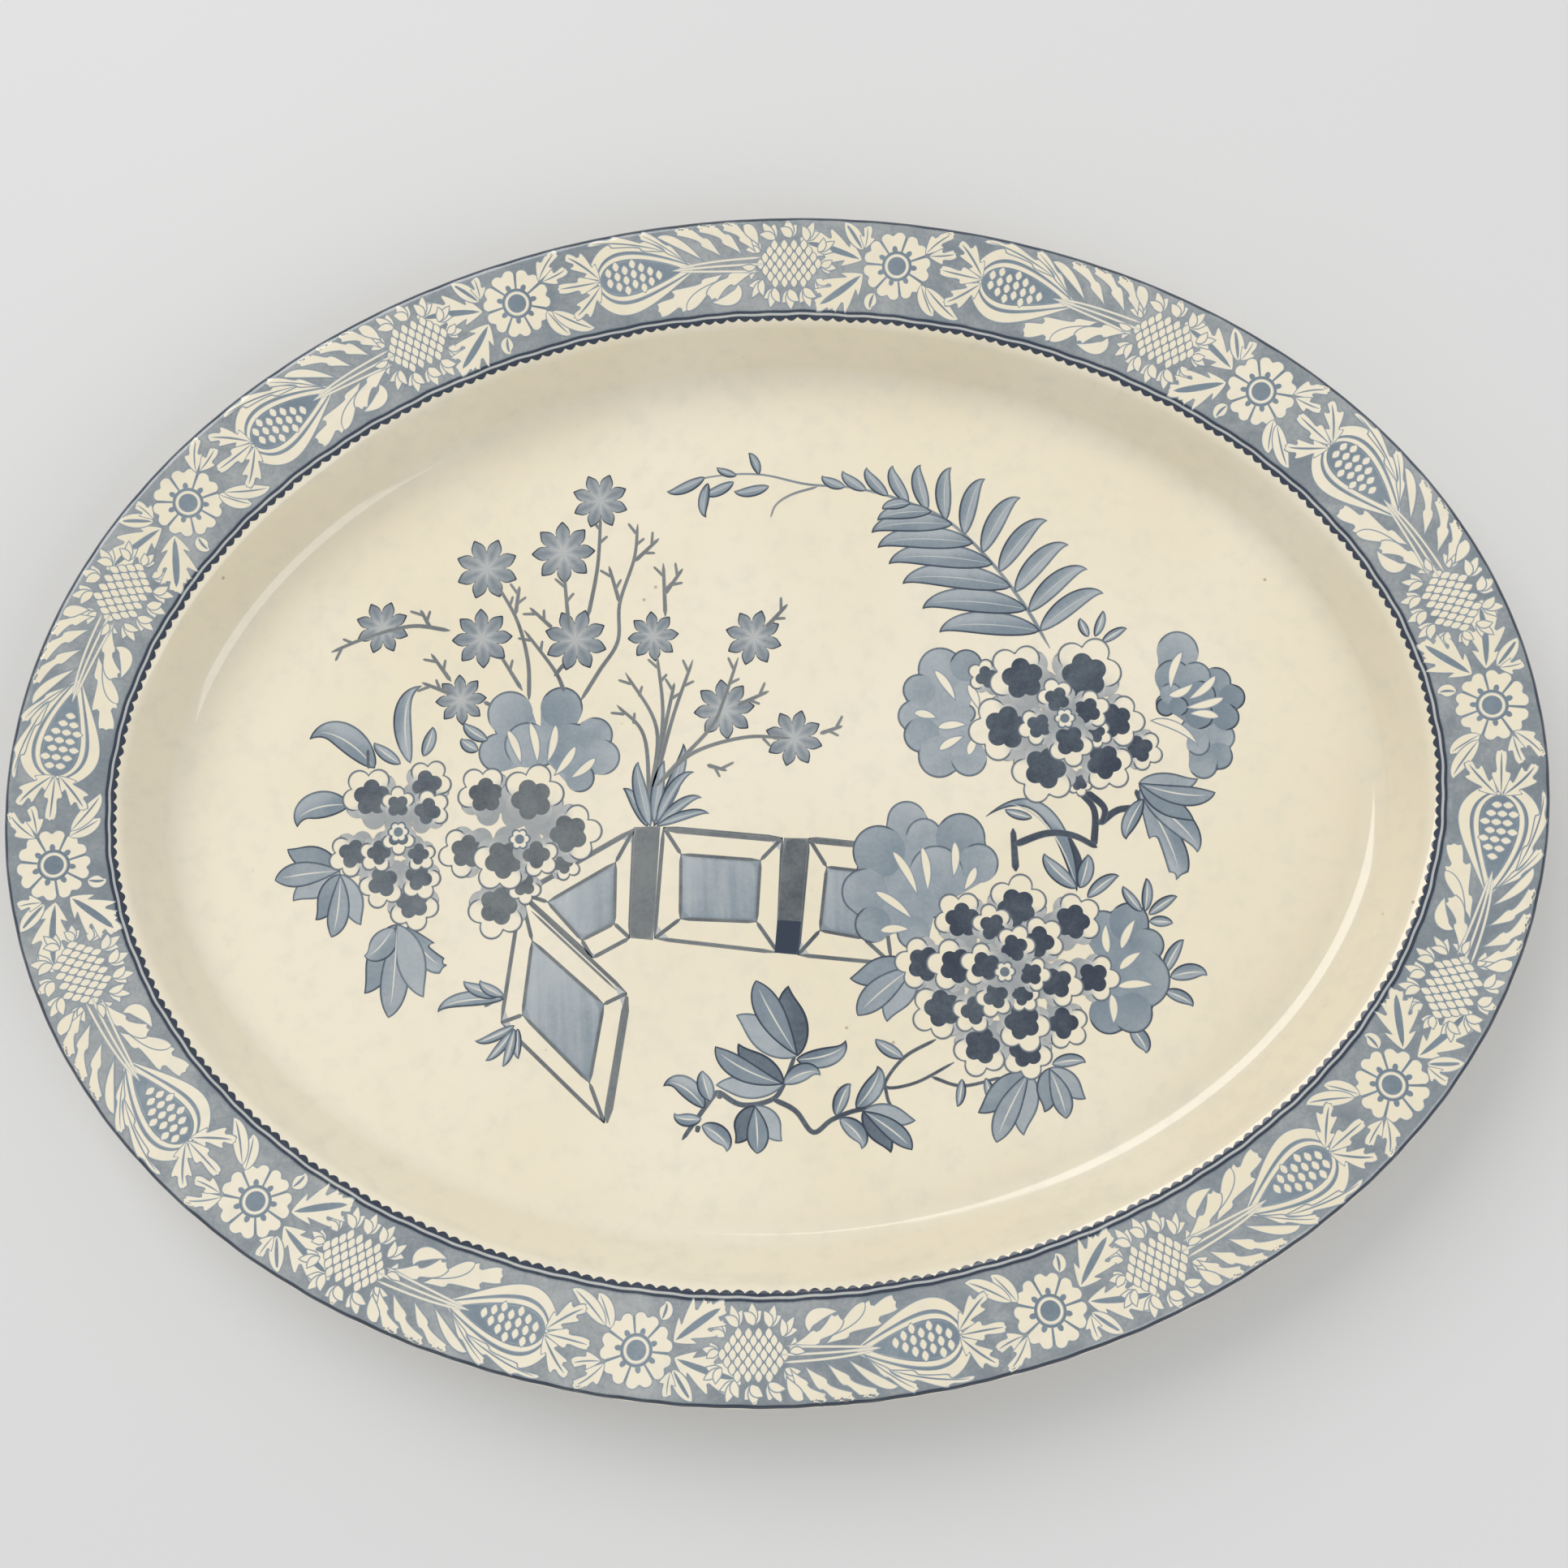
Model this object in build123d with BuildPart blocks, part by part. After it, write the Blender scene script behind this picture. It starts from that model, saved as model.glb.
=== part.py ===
from build123d import *
import os
from math import atan2, cos, sin, tan

# Oval china serving platter: a one-piece fired clay body with a glaze coat fused over it.
#
# The platter lies on its foot ring. +X runs along its length, +Y across it and +Z up, and the
# origin is the middle of the oval on the plane that the foot ring rests on. Every wall follows
# the same oval, so the whole dish is one upright section carried round the rim line, closed by
# flat oval floors. The section is drawn at the +X end. All sizes are millimetres.

os.makedirs("parts", exist_ok=True)

# ---- driving dimensions: finished size, over the glaze ----
LENGTH = 450.0
WIDTH = 349.0
HEIGHT = 34.0
GLAZE = 0.35  # thickness of the fired glaze

# ---- clay body ----
WALL = 4.4  # thickness of the rim and of the cavetto, the steep wall below it
RIM_BAND = 31.5  # from the edge in to the shoulder where the cavetto starts
RIM_FALL = 5.0  # drop over that band
CAVETTO_RUN = 10.5  # level distance that the cavetto covers
WELL_TOP = 10.0  # upper face of the well's floor
WELL_UNDERSIDE = 4.6
SHOULDER_RADIUS = 5.0
CAVETTO_FOOT_RADIUS = 9.0

# ---- foot ring ----
FOOT_HEIGHT_OUTSIDE = 5.2
FOOT_WIDTH = 4.6
FOOT_DRAFT = 0.5  # each side of the ring leans in by this much towards the table
FOOT_EDGE_RADIUS = 1.2
FOOT_ROOT_RADIUS = 1.5
BARE_FOOT = 1.4  # the glaze is wiped off the ring up to this height
TREAD_GROUND = 0.15  # clay ground off the fired ring to make its tread truly flat

# ---- where the carried section gives way to the flat floors ----
FLOOR_START = 53.0  # level distance in from the clay's edge
FLOOR_OVERLAP = 1.5

# ---- sizes that follow ----
HALF_LENGTH = LENGTH / 2 - GLAZE
HALF_WIDTH = WIDTH / 2 - GLAZE
FLOOR_X = HALF_LENGTH - FLOOR_START
FLOOR_HALF_LENGTH = FLOOR_X + FLOOR_OVERLAP
FLOOR_HALF_WIDTH = HALF_WIDTH - FLOOR_START + FLOOR_OVERLAP

LIP_RADIUS = WALL / 2
RIM_SLOPE = atan2(RIM_FALL, RIM_BAND)
RIM_NORMAL = Vector(-sin(RIM_SLOPE), cos(RIM_SLOPE))
LIP_CENTRE = Vector(HALF_LENGTH - LIP_RADIUS, HEIGHT - GLAZE - LIP_RADIUS)
LIP_TOP = LIP_CENTRE + RIM_NORMAL * LIP_RADIUS
LIP_OUTSIDE = LIP_CENTRE + Vector(LIP_RADIUS, 0)
LIP_UNDERSIDE = LIP_CENTRE - RIM_NORMAL * LIP_RADIUS

SHOULDER_X = HALF_LENGTH - RIM_BAND
SHOULDER = Vector(SHOULDER_X, LIP_TOP.Y - (LIP_TOP.X - SHOULDER_X) * tan(RIM_SLOPE))
CAVETTO_FOOT = Vector(SHOULDER_X - CAVETTO_RUN, WELL_TOP)
CAVETTO_SLOPE = atan2(SHOULDER.Y - WELL_TOP, CAVETTO_RUN)

# the back keeps one wall thickness behind the face, so its shoulder is a mitred corner
MEAN_SLOPE = (RIM_SLOPE + CAVETTO_SLOPE) / 2
MITRE = WALL / cos((CAVETTO_SLOPE - RIM_SLOPE) / 2)
BACK_SHOULDER = SHOULDER + Vector(sin(MEAN_SLOPE), -cos(MEAN_SLOPE)) * MITRE
BACK_DROP = BACK_SHOULDER.Y - FOOT_HEIGHT_OUTSIDE
FOOT_OUTSIDE_X = BACK_SHOULDER.X - BACK_DROP / tan(CAVETTO_SLOPE)
FOOT_INSIDE_X = FOOT_OUTSIDE_X - FOOT_WIDTH

# ---- rim line: the oval that the section is carried round ----
with BuildLine() as rim_line:
    EllipticalCenterArc((0, 0), HALF_LENGTH, HALF_WIDTH, arc_size=360)

# ---- section of the clay: face, lip, back and foot ring ----
with BuildSketch(Plane.XZ) as clay_section:
    with BuildLine():
        FilletPolyline(
            (FLOOR_X, WELL_TOP),
            CAVETTO_FOOT,
            SHOULDER,
            LIP_TOP,
            radius=[CAVETTO_FOOT_RADIUS, SHOULDER_RADIUS],
        )
        ThreePointArc(LIP_TOP, LIP_OUTSIDE, LIP_UNDERSIDE)
        FilletPolyline(
            LIP_UNDERSIDE,
            BACK_SHOULDER,
            (FOOT_OUTSIDE_X, FOOT_HEIGHT_OUTSIDE),
            (FOOT_OUTSIDE_X - FOOT_DRAFT, -TREAD_GROUND),
            (FOOT_INSIDE_X + FOOT_DRAFT, -TREAD_GROUND),
            (FOOT_INSIDE_X, WELL_UNDERSIDE),
            (FLOOR_X, WELL_UNDERSIDE),
            radius=[
                SHOULDER_RADIUS + WALL,
                FOOT_ROOT_RADIUS,
                FOOT_EDGE_RADIUS,
                FOOT_EDGE_RADIUS,
                FOOT_ROOT_RADIUS,
            ],
        )
        Line((FLOOR_X, WELL_UNDERSIDE), (FLOOR_X, WELL_TOP))
    make_face()

# ---- section of the glaze all round the clay, with the foot ring's tread left bare ----
with BuildSketch(Plane.XZ) as glaze_section:
    add(clay_section.sketch)
    offset(amount=GLAZE)
    add(clay_section.sketch, mode=Mode.SUBTRACT)
    with Locations((FLOOR_X, 0)):
        Rectangle(2 * GLAZE, HEIGHT, align=(Align.MAX, Align.MIN), mode=Mode.SUBTRACT)
    with Locations((FOOT_INSIDE_X, BARE_FOOT)):
        Rectangle(
            2 * FOOT_WIDTH,
            2 * FOOT_WIDTH,
            align=(Align.CENTER, Align.MAX),
            mode=Mode.SUBTRACT,
        )
recess_section, coat_section = glaze_section.sketch.faces().sort_by(SortBy.AREA)

# ---- clay body ----
with BuildPart() as clay_body:
    sweep(sections=clay_section.sketch, path=rim_line.wire())
    with BuildSketch(Plane.XY.offset(WELL_UNDERSIDE)):
        Ellipse(FLOOR_HALF_LENGTH, FLOOR_HALF_WIDTH)
    extrude(amount=WELL_TOP - WELL_UNDERSIDE)
    split(bisect_by=Plane.XY, keep=Keep.TOP)
clay_body.part.label = "clay_body"
export_step(clay_body.part, "parts/clay_body.step")

# ---- glaze coat: over the face, round the lip and down the back to the foot ring ----
with BuildPart() as glaze_coat:
    sweep(sections=coat_section, path=rim_line.wire())
    with BuildSketch(Plane.XY.offset(WELL_TOP)):
        Ellipse(FLOOR_HALF_LENGTH, FLOOR_HALF_WIDTH)
    extrude(amount=GLAZE)
glaze_coat.part.label = "glaze_coat"
export_step(glaze_coat.part, "parts/glaze_coat.step")

# ---- recess glaze: inside the foot ring, parted from the coat by the bare tread ----
with BuildPart() as recess_glaze:
    sweep(sections=recess_section, path=rim_line.wire())
    with BuildSketch(Plane.XY.offset(WELL_UNDERSIDE - GLAZE)):
        Ellipse(FLOOR_HALF_LENGTH, FLOOR_HALF_WIDTH)
    extrude(amount=GLAZE)
recess_glaze.part.label = "recess_glaze"
export_step(recess_glaze.part, "parts/recess_glaze.step")
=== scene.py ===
from collections import namedtuple
from functools import partial
from math import atan2, comb, cos, pi, radians, sin, tan

import bpy
import numpy as np
from bpy.props import FloatProperty, FloatVectorProperty, IntProperty, PointerProperty
from bpy.types import Operator, Panel, PropertyGroup
from mathutils import Matrix, Vector


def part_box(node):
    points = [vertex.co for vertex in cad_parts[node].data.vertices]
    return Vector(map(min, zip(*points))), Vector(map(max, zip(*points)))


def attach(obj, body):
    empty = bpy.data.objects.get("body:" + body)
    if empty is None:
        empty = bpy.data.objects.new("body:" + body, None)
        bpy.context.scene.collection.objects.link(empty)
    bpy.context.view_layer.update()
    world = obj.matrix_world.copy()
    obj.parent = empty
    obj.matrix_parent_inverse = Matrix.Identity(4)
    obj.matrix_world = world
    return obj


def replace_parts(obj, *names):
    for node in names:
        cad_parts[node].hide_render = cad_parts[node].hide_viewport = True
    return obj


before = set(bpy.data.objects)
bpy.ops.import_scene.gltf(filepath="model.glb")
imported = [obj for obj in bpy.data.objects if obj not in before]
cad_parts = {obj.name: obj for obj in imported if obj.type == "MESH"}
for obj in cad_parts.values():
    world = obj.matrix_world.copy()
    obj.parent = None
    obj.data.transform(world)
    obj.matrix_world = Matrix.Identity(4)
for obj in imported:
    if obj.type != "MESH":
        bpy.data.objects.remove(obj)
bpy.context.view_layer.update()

bl_info = {
    "name": "Oval China Platter",
    "version": (1, 0, 0),
    "blender": (4, 5, 0),
    "location": "3D View > Sidebar > Platter",
    "description": "Glazes and decorates an oval serving platter with a blue underglaze print",
    "category": "Object",
}

# Flat drawing is done in millimetres on complex numbers, x along and y up the picture. The
# rim's drawing has x clockwise along the band and y falling from 0 at the edge.
MM = 0.001
CLAY_LOW, CLAY_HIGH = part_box("clay_body")
COAT_LOW, COAT_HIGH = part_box("glaze_coat")
RECESS_LOW, RECESS_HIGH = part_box("recess_glaze")

HALF_LENGTH = CLAY_HIGH.x / MM
HALF_WIDTH = CLAY_HIGH.y / MM
CLAY_TOP = CLAY_HIGH.z / MM
BARE_FOOT = COAT_LOW.z / MM
WELL_UNDERSIDE = RECESS_HIGH.z / MM

# the section's flat floors start this far in from the rim line
FLOOR_START = 53.0
FOOT_ROOT_RADIUS = 1.5
FOOT_LEAN = 0.36
SMALL = 1e-6
RIM_STEPS = 7200
SHELL_CREASE = radians(50)
FILM_CREASE = radians(35)
# the print's underside sits just clear of the glaze, and shapes that overlap go up by steps,
# starting again from the bottom after so many of them
FILM_FOOT = 0.004
FILM_STEP = 0.0035
FILM_STEPS = 16
# points along each side of a four-cornered field
PANEL_SIDE = 9
# where a leaf's spine runs: how far along, and aside as a share of its bow
LEAF_SPINE = ((0, 0), (0.38, 0.55), (0.86, 0.95), (1, 0))
# where a side lobe's spine runs: how far along its leaf, with its bow and out from the middle
LOBE_SPINE = ((0, 0, 0), (0.26, 0.5, 0.62), (0.54, 0.9, 0.42), (0.76, 0.8, 1.0))


# ---------------------------------------------------------------- settings


def size_setting(name, about, default, **limits):
    """A size setting in millimetres."""
    return FloatProperty(name=name, description=f"{about}, mm", default=default, **limits)


def colour_setting(name, about, *default):
    """A colour setting."""
    return FloatVectorProperty(
        name=name, description=about, subtype="COLOR", size=3, min=0, max=1, default=default
    )


class PlatterSizes(PropertyGroup):
    """Sizes of the section that the clay keeps all round the oval, and of the border."""

    wall: size_setting("Wall", "Thickness of the rim and the cavetto", 4.4, min=1)
    rim_band: size_setting("Rim band", "Level width of the rim", 31.5, min=5)
    rim_fall: size_setting("Rim fall", "Drop of the rim towards the well", 5.0)
    cavetto_run: size_setting("Cavetto run", "Level width of the steep wall", 10.5)
    well_top: size_setting("Well height", "Height of the clay's well floor", 10.0)
    shoulder_radius: size_setting("Shoulder radius", "Bend from rim to cavetto", 5.0)
    cavetto_radius: size_setting("Cavetto radius", "Bend from cavetto to well", 9.0)
    foot_height: size_setting("Foot height", "Height of the foot ring outside", 5.2)
    foot_width: size_setting("Foot width", "Width of the foot ring", 4.6)
    glaze: size_setting("Glaze", "Thickness of the glaze shown", 0.24, min=0.05)
    border_start: size_setting("Border start", "First floret, clockwise from the far side", 45.0)
    repeats: IntProperty(
        name="Border repeats", description="Times the border's pattern repeats", default=10
    )


class PlatterColours(PropertyGroup):
    """Colours of the glaze, the clay, the ink and the stage."""

    cream: colour_setting("Cream", "Clear glaze over the clay", 0.83, 0.75, 0.585)
    biscuit: colour_setting("Biscuit", "Bare fired clay", 0.60, 0.50, 0.36)
    ink_pale: colour_setting("Pale ink", "Thin wash of ink", 0.42, 0.448, 0.455)
    ink_middle: colour_setting("Middle ink", "Full wash of ink", 0.192, 0.236, 0.270)
    ink_deep: colour_setting("Deep ink", "Heaviest ink", 0.019, 0.031, 0.056)
    floor: colour_setting("Floor", "Studio floor", 0.70, 0.69, 0.67)


def sizes():
    """The scene's platter sizes."""
    return bpy.context.scene.platter_sizes


def colours():
    """The scene's platter colours."""
    return bpy.context.scene.platter_colours


# ---------------------------------------------------------------- the platter's surface


def rounded_path(corners, radii, bend, run):
    """Straight runs through the corners joined by tangent arcs: its points and directions.

    Each arc starts one tangent length, radius times the tangent of half the turn, before
    its corner, and its points are the centre plus the radius swung through the turn. Bend
    is the angle between points on an arc and run the distance between them elsewhere.
    """
    legs = np.diff(corners)
    ways = legs / abs(legs)
    points, headings = [], []
    start = corners[0]
    for corner, before, after, radius in zip(corners[1:-1], ways, ways[1:], radii):
        turn = np.angle(after / before)
        first = corner - before * radius * tan(abs(turn) / 2)
        centre = first + 1j * before * radius * np.sign(turn)
        pieces = int(np.ceil(abs(first - start) / run - SMALL))
        line = np.linspace(start, first, pieces + 1)[:pieces]
        swing = np.exp(1j * np.linspace(0, turn, int(abs(turn) / bend) + 3))
        points += [line, centre + (first - centre) * swing]
        headings += [np.full(line.size, before), before * swing]
        start = points[-1][-1]
        if abs(start - corner - after * radius * tan(abs(turn) / 2)) > SMALL:
            raise RuntimeError("an arc of the section does not meet its run")
    line = np.linspace(start, corners[-1], int(abs(corners[-1] - start) / run) + 2)[1:]
    points.append(line)
    headings.append(np.full(line.size, ways[-1]))
    points, headings = np.concatenate(points), np.concatenate(headings)
    fresh = np.concatenate([[True], abs(np.diff(points)) > SMALL])
    return points[fresh], headings[fresh]


def clay_outline(bend, run):
    """Section of the clay from the well, over the rim and down to the foot's bare tread.

    Real parts are distances out from the clay's rim line, so they are below 0 on the face,
    and imaginary parts are heights. The back keeps the wall's thickness, so its shoulder is
    the face's shoulder moved along the mitre of the two slopes.
    """
    size = sizes()
    lip = size.wall / 2
    slope = atan2(size.rim_fall, size.rim_band)
    outward = complex(cos(slope), sin(slope))
    centre = complex(-lip, CLAY_TOP - lip)
    top = centre + 1j * outward * lip
    shoulder_x = -size.rim_band
    shoulder = complex(shoulder_x, top.imag - (top.real - shoulder_x) * tan(slope))
    foot = complex(shoulder_x - size.cavetto_run, size.well_top)
    steep = atan2(shoulder.imag - foot.imag, size.cavetto_run)
    mean = (slope + steep) / 2
    mitre = size.wall / cos((steep - slope) / 2)
    back = shoulder + complex(sin(mean), -cos(mean)) * mitre
    ring_x = back.real - (back.imag - size.foot_height) / tan(steep)
    corners = np.array(
        [
            complex(-FLOOR_START, size.well_top),
            foot,
            shoulder,
            centre + (1 + 1j) * outward * lip,
            centre + (1 - 1j) * outward * lip,
            back,
            complex(ring_x, size.foot_height),
            complex(ring_x - FOOT_LEAN, BARE_FOOT),
        ]
    )
    bends = [size.cavetto_radius, size.shoulder_radius, lip, lip, size.shoulder_radius + size.wall]
    return rounded_path(corners, bends + [FOOT_ROOT_RADIUS], bend, run)


def rim_line(turn):
    """Point and outward normal of the clay's oval edge, clockwise from the far side."""
    edge = HALF_LENGTH * np.sin(turn) + 1j * HALF_WIDTH * np.cos(turn)
    out = HALF_WIDTH * np.sin(turn) + 1j * HALF_LENGTH * np.cos(turn)
    return edge, out / abs(out)


class FaceMap:
    """Carries flat drawings to the glazed face: the well's floor, or along the rim."""

    def __init__(self):
        outline, way = clay_outline(bend=0.02, run=0.5)
        self.normal = 1j * way
        self.seat = outline + self.normal * sizes().glaze
        lip = int(np.argmax(self.seat.real))
        steps = np.concatenate([[0], np.cumsum(abs(np.diff(self.seat)))])
        level = self.seat.real[lip] - self.seat.real
        self.inset = np.where(np.arange(level.size) <= lip, level, steps[lip] - steps)
        self.well = sizes().well_top + sizes().glaze
        self.turn = np.linspace(0, 2 * pi, RIM_STEPS + 1)
        edge, out = rim_line(self.turn)
        middle = edge - out * sizes().rim_band / 2
        self.length = np.concatenate([[0], np.cumsum(abs(np.diff(middle)))])

    def in_well(self, flat, lift):
        """The drawing laid level on the well's floor."""
        return np.stack([flat.real, flat.imag, self.well + lift], -1) * MM

    def on_rim(self, flat, lift):
        """The drawing bent along the rim: x runs round the band, -y down the section."""
        section = (self.seat.real, self.seat.imag, self.normal.real, self.normal.imag)
        place, height, lean, rise = (
            np.interp(-flat.imag, self.inset[::-1], part[::-1]) for part in section
        )
        edge, out = rim_line(np.interp(flat.real % self.length[-1], self.length, self.turn))
        spot = edge + out * (place + lean * lift)
        return np.stack([spot.real, spot.imag, height + rise * lift], -1) * MM


# ---------------------------------------------------------------- flat shapes

Shape = namedtuple("Shape", "points quads tris edge ink warm lift")


def make_shape(points, quads, edge, ink, warm, lift, tris=None):
    """A shape whose ink, warmth and lift are spread over its points."""
    flat = np.ravel(points)
    full = np.ones(flat.size)
    return Shape(flat, quads, tris, np.ravel(edge), np.ravel(ink) * full, warm * full, lift * full)


def grid_quads(rows, columns, closed=False):
    """Corners of the quads of a grid of points stored row by row, wrapped round if closed."""
    r, c = np.meshgrid(np.arange(rows - 1), np.arange(columns - (not closed)), indexing="ij")
    right = (c + 1) % columns
    corners = [r * columns + c, (r + 1) * columns + c, (r + 1) * columns + right, r * columns + right]
    return np.stack([k.ravel() for k in corners], 1)


def curve(points, u):
    """Bezier curve of any degree through the first and last of its control points."""
    last = len(points) - 1
    share = [comb(last, k) * u**k * (1 - u) ** (last - k) for k in range(last + 1)]
    return sum(s * p for s, p in zip(share, points))


def through(points, u):
    """Smooth curve through all its points: cubic runs whose slopes span the neighbours."""
    p = np.asarray(points, complex)
    slope = np.gradient(p) if len(p) > 2 else np.full(2, p[1] - p[0])
    at = np.clip(u * (len(p) - 1), 0, len(p) - 1 - 1e-9)
    k = at.astype(int)
    f = at - k
    return (
        p[k] * (1 + 2 * f) * (1 - f) ** 2
        + slope[k] * f * (1 - f) ** 2
        + p[k + 1] * f**2 * (3 - 2 * f)
        - slope[k + 1] * f**2 * (1 - f)
    )


def blade(spine, width, ink, *, lift, skew=0.85, full=0.75, teeth=0, bite=0.35, rows=22, columns=5):
    """A pointed blade: half width times sin(pi u^skew)^full to each side of its spine.

    Teeth rise as f^1.3 over four fifths of their length and drop back in the last fifth,
    leaning to the tip.
    """
    rows = max(rows, 8 * teeth + 2)
    u = np.linspace(0, 1, rows)[:, None]
    v = np.linspace(-1, 1, columns)[None, :]
    centre = curve(spine, u)
    way = np.gradient(centre[:, 0])[:, None]
    swell = np.sin(pi * u**skew) ** full
    if teeth:
        tooth = (teeth * u + 0.15) % 1.0
        jag = np.where(tooth < 0.8, (tooth / 0.8) ** 1.3, (1 - tooth) / 0.2)
        swell = swell * (1 - bite + 1.25 * bite * jag)
    half = np.maximum(width / 2 * swell, 0.06)
    points = centre + 1j * way / abs(way) * v * half
    if teeth:
        points = points + way / abs(way) * 0.5 * half * jag * v**2
    edge = (1 - abs(v)) * half
    return make_shape(points, grid_quads(rows, columns), edge, ink, 0.0, lift)


def stroke(points, width, ink, *, lift, end=None, warm=0.0):
    """A drawn line through its points, tapered from width to end, with rounded tips."""
    count = 7 * (len(points) - 1) + 3
    u = np.linspace(0, 1, count)[:, None]
    v = np.array([[-1.0, 0.0, 1.0]])
    centre = through(points, u)
    way = np.gradient(centre[:, 0])[:, None]
    half = (width + ((width if end is None else end) - width) * u) / 2
    half = half * np.clip(1 - abs(2 * u - 1) ** 24, 0.25, 1)
    line = centre + 1j * way / abs(way) * v * half
    return make_shape(line, grid_quads(count, 3), (1 - abs(v)) * half, ink, warm, lift)


def disc(centre, reach, ink, *, lift, rings=3, warm=0.0, tint=None):
    """A disc whose radius in each direction is reach, an array over one full turn."""
    count = reach.size
    spin = np.exp(2j * pi * np.arange(count) / count)[None, :]
    share = (np.arange(rings) + 1)[:, None] / rings
    ring = centre + share * reach[None, :] * spin
    points = np.concatenate([ring.ravel(), [centre]])
    edge = np.concatenate([((1 - share) * reach[None, :]).ravel(), [reach.min()]])
    around = np.arange(count)
    tris = np.stack([np.full(count, rings * count), around, (around + 1) % count], 1)
    quads = grid_quads(rings, count, closed=True)
    tone = ink if tint is None else ink + tint(points - centre)
    return make_shape(points, quads, edge, tone, warm, lift, tris)


def lobed(centre, radius, lobes, ink, *, bulge=0.25, turn=0.0, count=72, **look):
    """Union of round lobes on a ring: reach d cos a + sqrt(c^2 - d^2 sin^2 a) round each one.

    c and d are the lobes' radius and their distance from the centre, a the angle from the
    nearest lobe, and bulge sets how far the lobes run into each other.
    """
    angle = 2 * pi * np.arange(count) / count
    gap = 2 * pi / lobes
    a = (angle - turn + gap / 2) % gap - gap / 2
    ratio = sin(gap / 2) * (1 + bulge)
    d = radius / (1 + ratio)
    c = d * ratio
    reach = d * np.cos(a) + np.sqrt(np.maximum(c**2 - (d * np.sin(a)) ** 2, 0))
    return disc(centre, reach, ink, **look)


def oval(centre, across, ink, *, along=None, turn=0.0, count=36, **look):
    """An ellipse of radii across and along, turned."""
    along = along or across
    angle = 2 * pi * np.arange(count) / count - turn
    reach = across * along / np.hypot(along * np.cos(angle), across * np.sin(angle))
    return disc(centre, reach, ink, **look)


def panel(corners, ink, *, lift, warm=0.0):
    """A four-cornered field, given anticlockwise, with even steps between its sides."""
    a, b, c, d = corners
    u = np.linspace(0, 1, PANEL_SIDE)[:, None]
    v = np.linspace(0, 1, PANEL_SIDE)[None, :]
    points = (a * (1 - u) + b * u) * (1 - v) + (d * (1 - u) + c * u) * v
    wide = min(abs(b - a), abs(c - d))
    tall = min(abs(d - a), abs(c - b))
    edge = np.minimum(np.minimum(u, 1 - u) * wide, np.minimum(v, 1 - v) * tall)
    return make_shape(points, grid_quads(PANEL_SIDE, PANEL_SIDE), edge, ink, warm, lift)


# ---------------------------------------------------------------- meshes and materials


def new_object(name, points, faces, smooth_below=None):
    """A mesh object at the origin from arrays of points and of faces, three or four sided."""
    mesh = bpy.data.meshes.new(name)
    sides = np.concatenate([np.full(len(f), f.shape[1]) for f in faces])
    corners = np.concatenate([f.ravel() for f in faces])
    mesh.vertices.add(len(points))
    mesh.vertices.foreach_set("co", np.asarray(points, np.float32).ravel())
    mesh.loops.add(corners.size)
    mesh.loops.foreach_set("vertex_index", corners.astype(np.int32))
    mesh.polygons.add(sides.size)
    starts = np.concatenate([[0], np.cumsum(sides)[:-1]])
    mesh.polygons.foreach_set("loop_start", starts.astype(np.int32))
    mesh.update(calc_edges=True)
    mesh.polygons.foreach_set("use_smooth", np.ones(sides.size, bool))
    if smooth_below:
        mesh.set_sharp_from_angle(angle=smooth_below)
    piece = bpy.data.objects.new(name, mesh)
    bpy.context.scene.collection.objects.link(piece)
    return piece


def finish_piece(piece, material):
    """Gives a piece its material and its body."""
    piece.data.materials.append(bpy.data.materials[material])
    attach(piece, "root")
    return piece


def print_film(name, shapes, place, material):
    """Lays shapes on the face as one closed film, from the glaze up to each shape's lift."""
    start = np.cumsum([0] + [s.points.size for s in shapes])
    flat = np.concatenate([s.points for s in shapes])
    lift = np.concatenate([s.lift for s in shapes])
    quads = np.concatenate([s.quads + k for s, k in zip(shapes, start)])
    fans = [s.tris + k for s, k in zip(shapes, start) if s.tris is not None]
    tris = np.concatenate(fans) if fans else np.zeros((0, 3), int)
    edges = np.concatenate(
        [quads[:, [k, (k + 1) % 4]] for k in range(4)] + [tris[:, [k, (k + 1) % 3]] for k in range(3)]
    )
    _, first, times = np.unique(np.sort(edges, 1), axis=0, return_index=True, return_counts=True)
    rim = edges[first[times == 1]]
    count = flat.size
    walls = np.stack([rim[:, 1], rim[:, 0], rim[:, 0] + count, rim[:, 1] + count], 1)
    points = np.concatenate([place(flat, lift), place(flat, np.full(count, FILM_FOOT))])
    faces = [quads, quads[:, ::-1] + count, walls, tris, tris[:, ::-1] + count]
    piece = new_object(name, points, [f for f in faces if len(f)], FILM_CREASE)
    for label in ("edge", "ink", "warm"):
        values = np.concatenate([getattr(s, label) for s in shapes])
        layer = piece.data.attributes.new(label, "FLOAT", "POINT")
        layer.data.foreach_set("value", np.tile(values, 2).astype(np.float32))
    return finish_piece(piece, material)


def add_node(tree, kind, **settings):
    """A new node with some of its settings and, by name, its unlinked inputs."""
    node = tree.nodes.new(kind)
    for label, value in settings.items():
        if hasattr(node, label):
            setattr(node, label, value)
        else:
            node.inputs[label.replace("_", " ")].default_value = value
    return node


def maths(tree, operation, first, second=None, clamp=False):
    """A Math node whose inputs are sockets or numbers."""
    node = tree.nodes.new("ShaderNodeMath")
    node.operation = operation
    node.use_clamp = clamp
    for socket, value in zip(node.inputs, (first, second)):
        if isinstance(value, bpy.types.NodeSocket):
            tree.links.new(value, socket)
        elif value is not None:
            socket.default_value = value
    return node.outputs[0]


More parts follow.
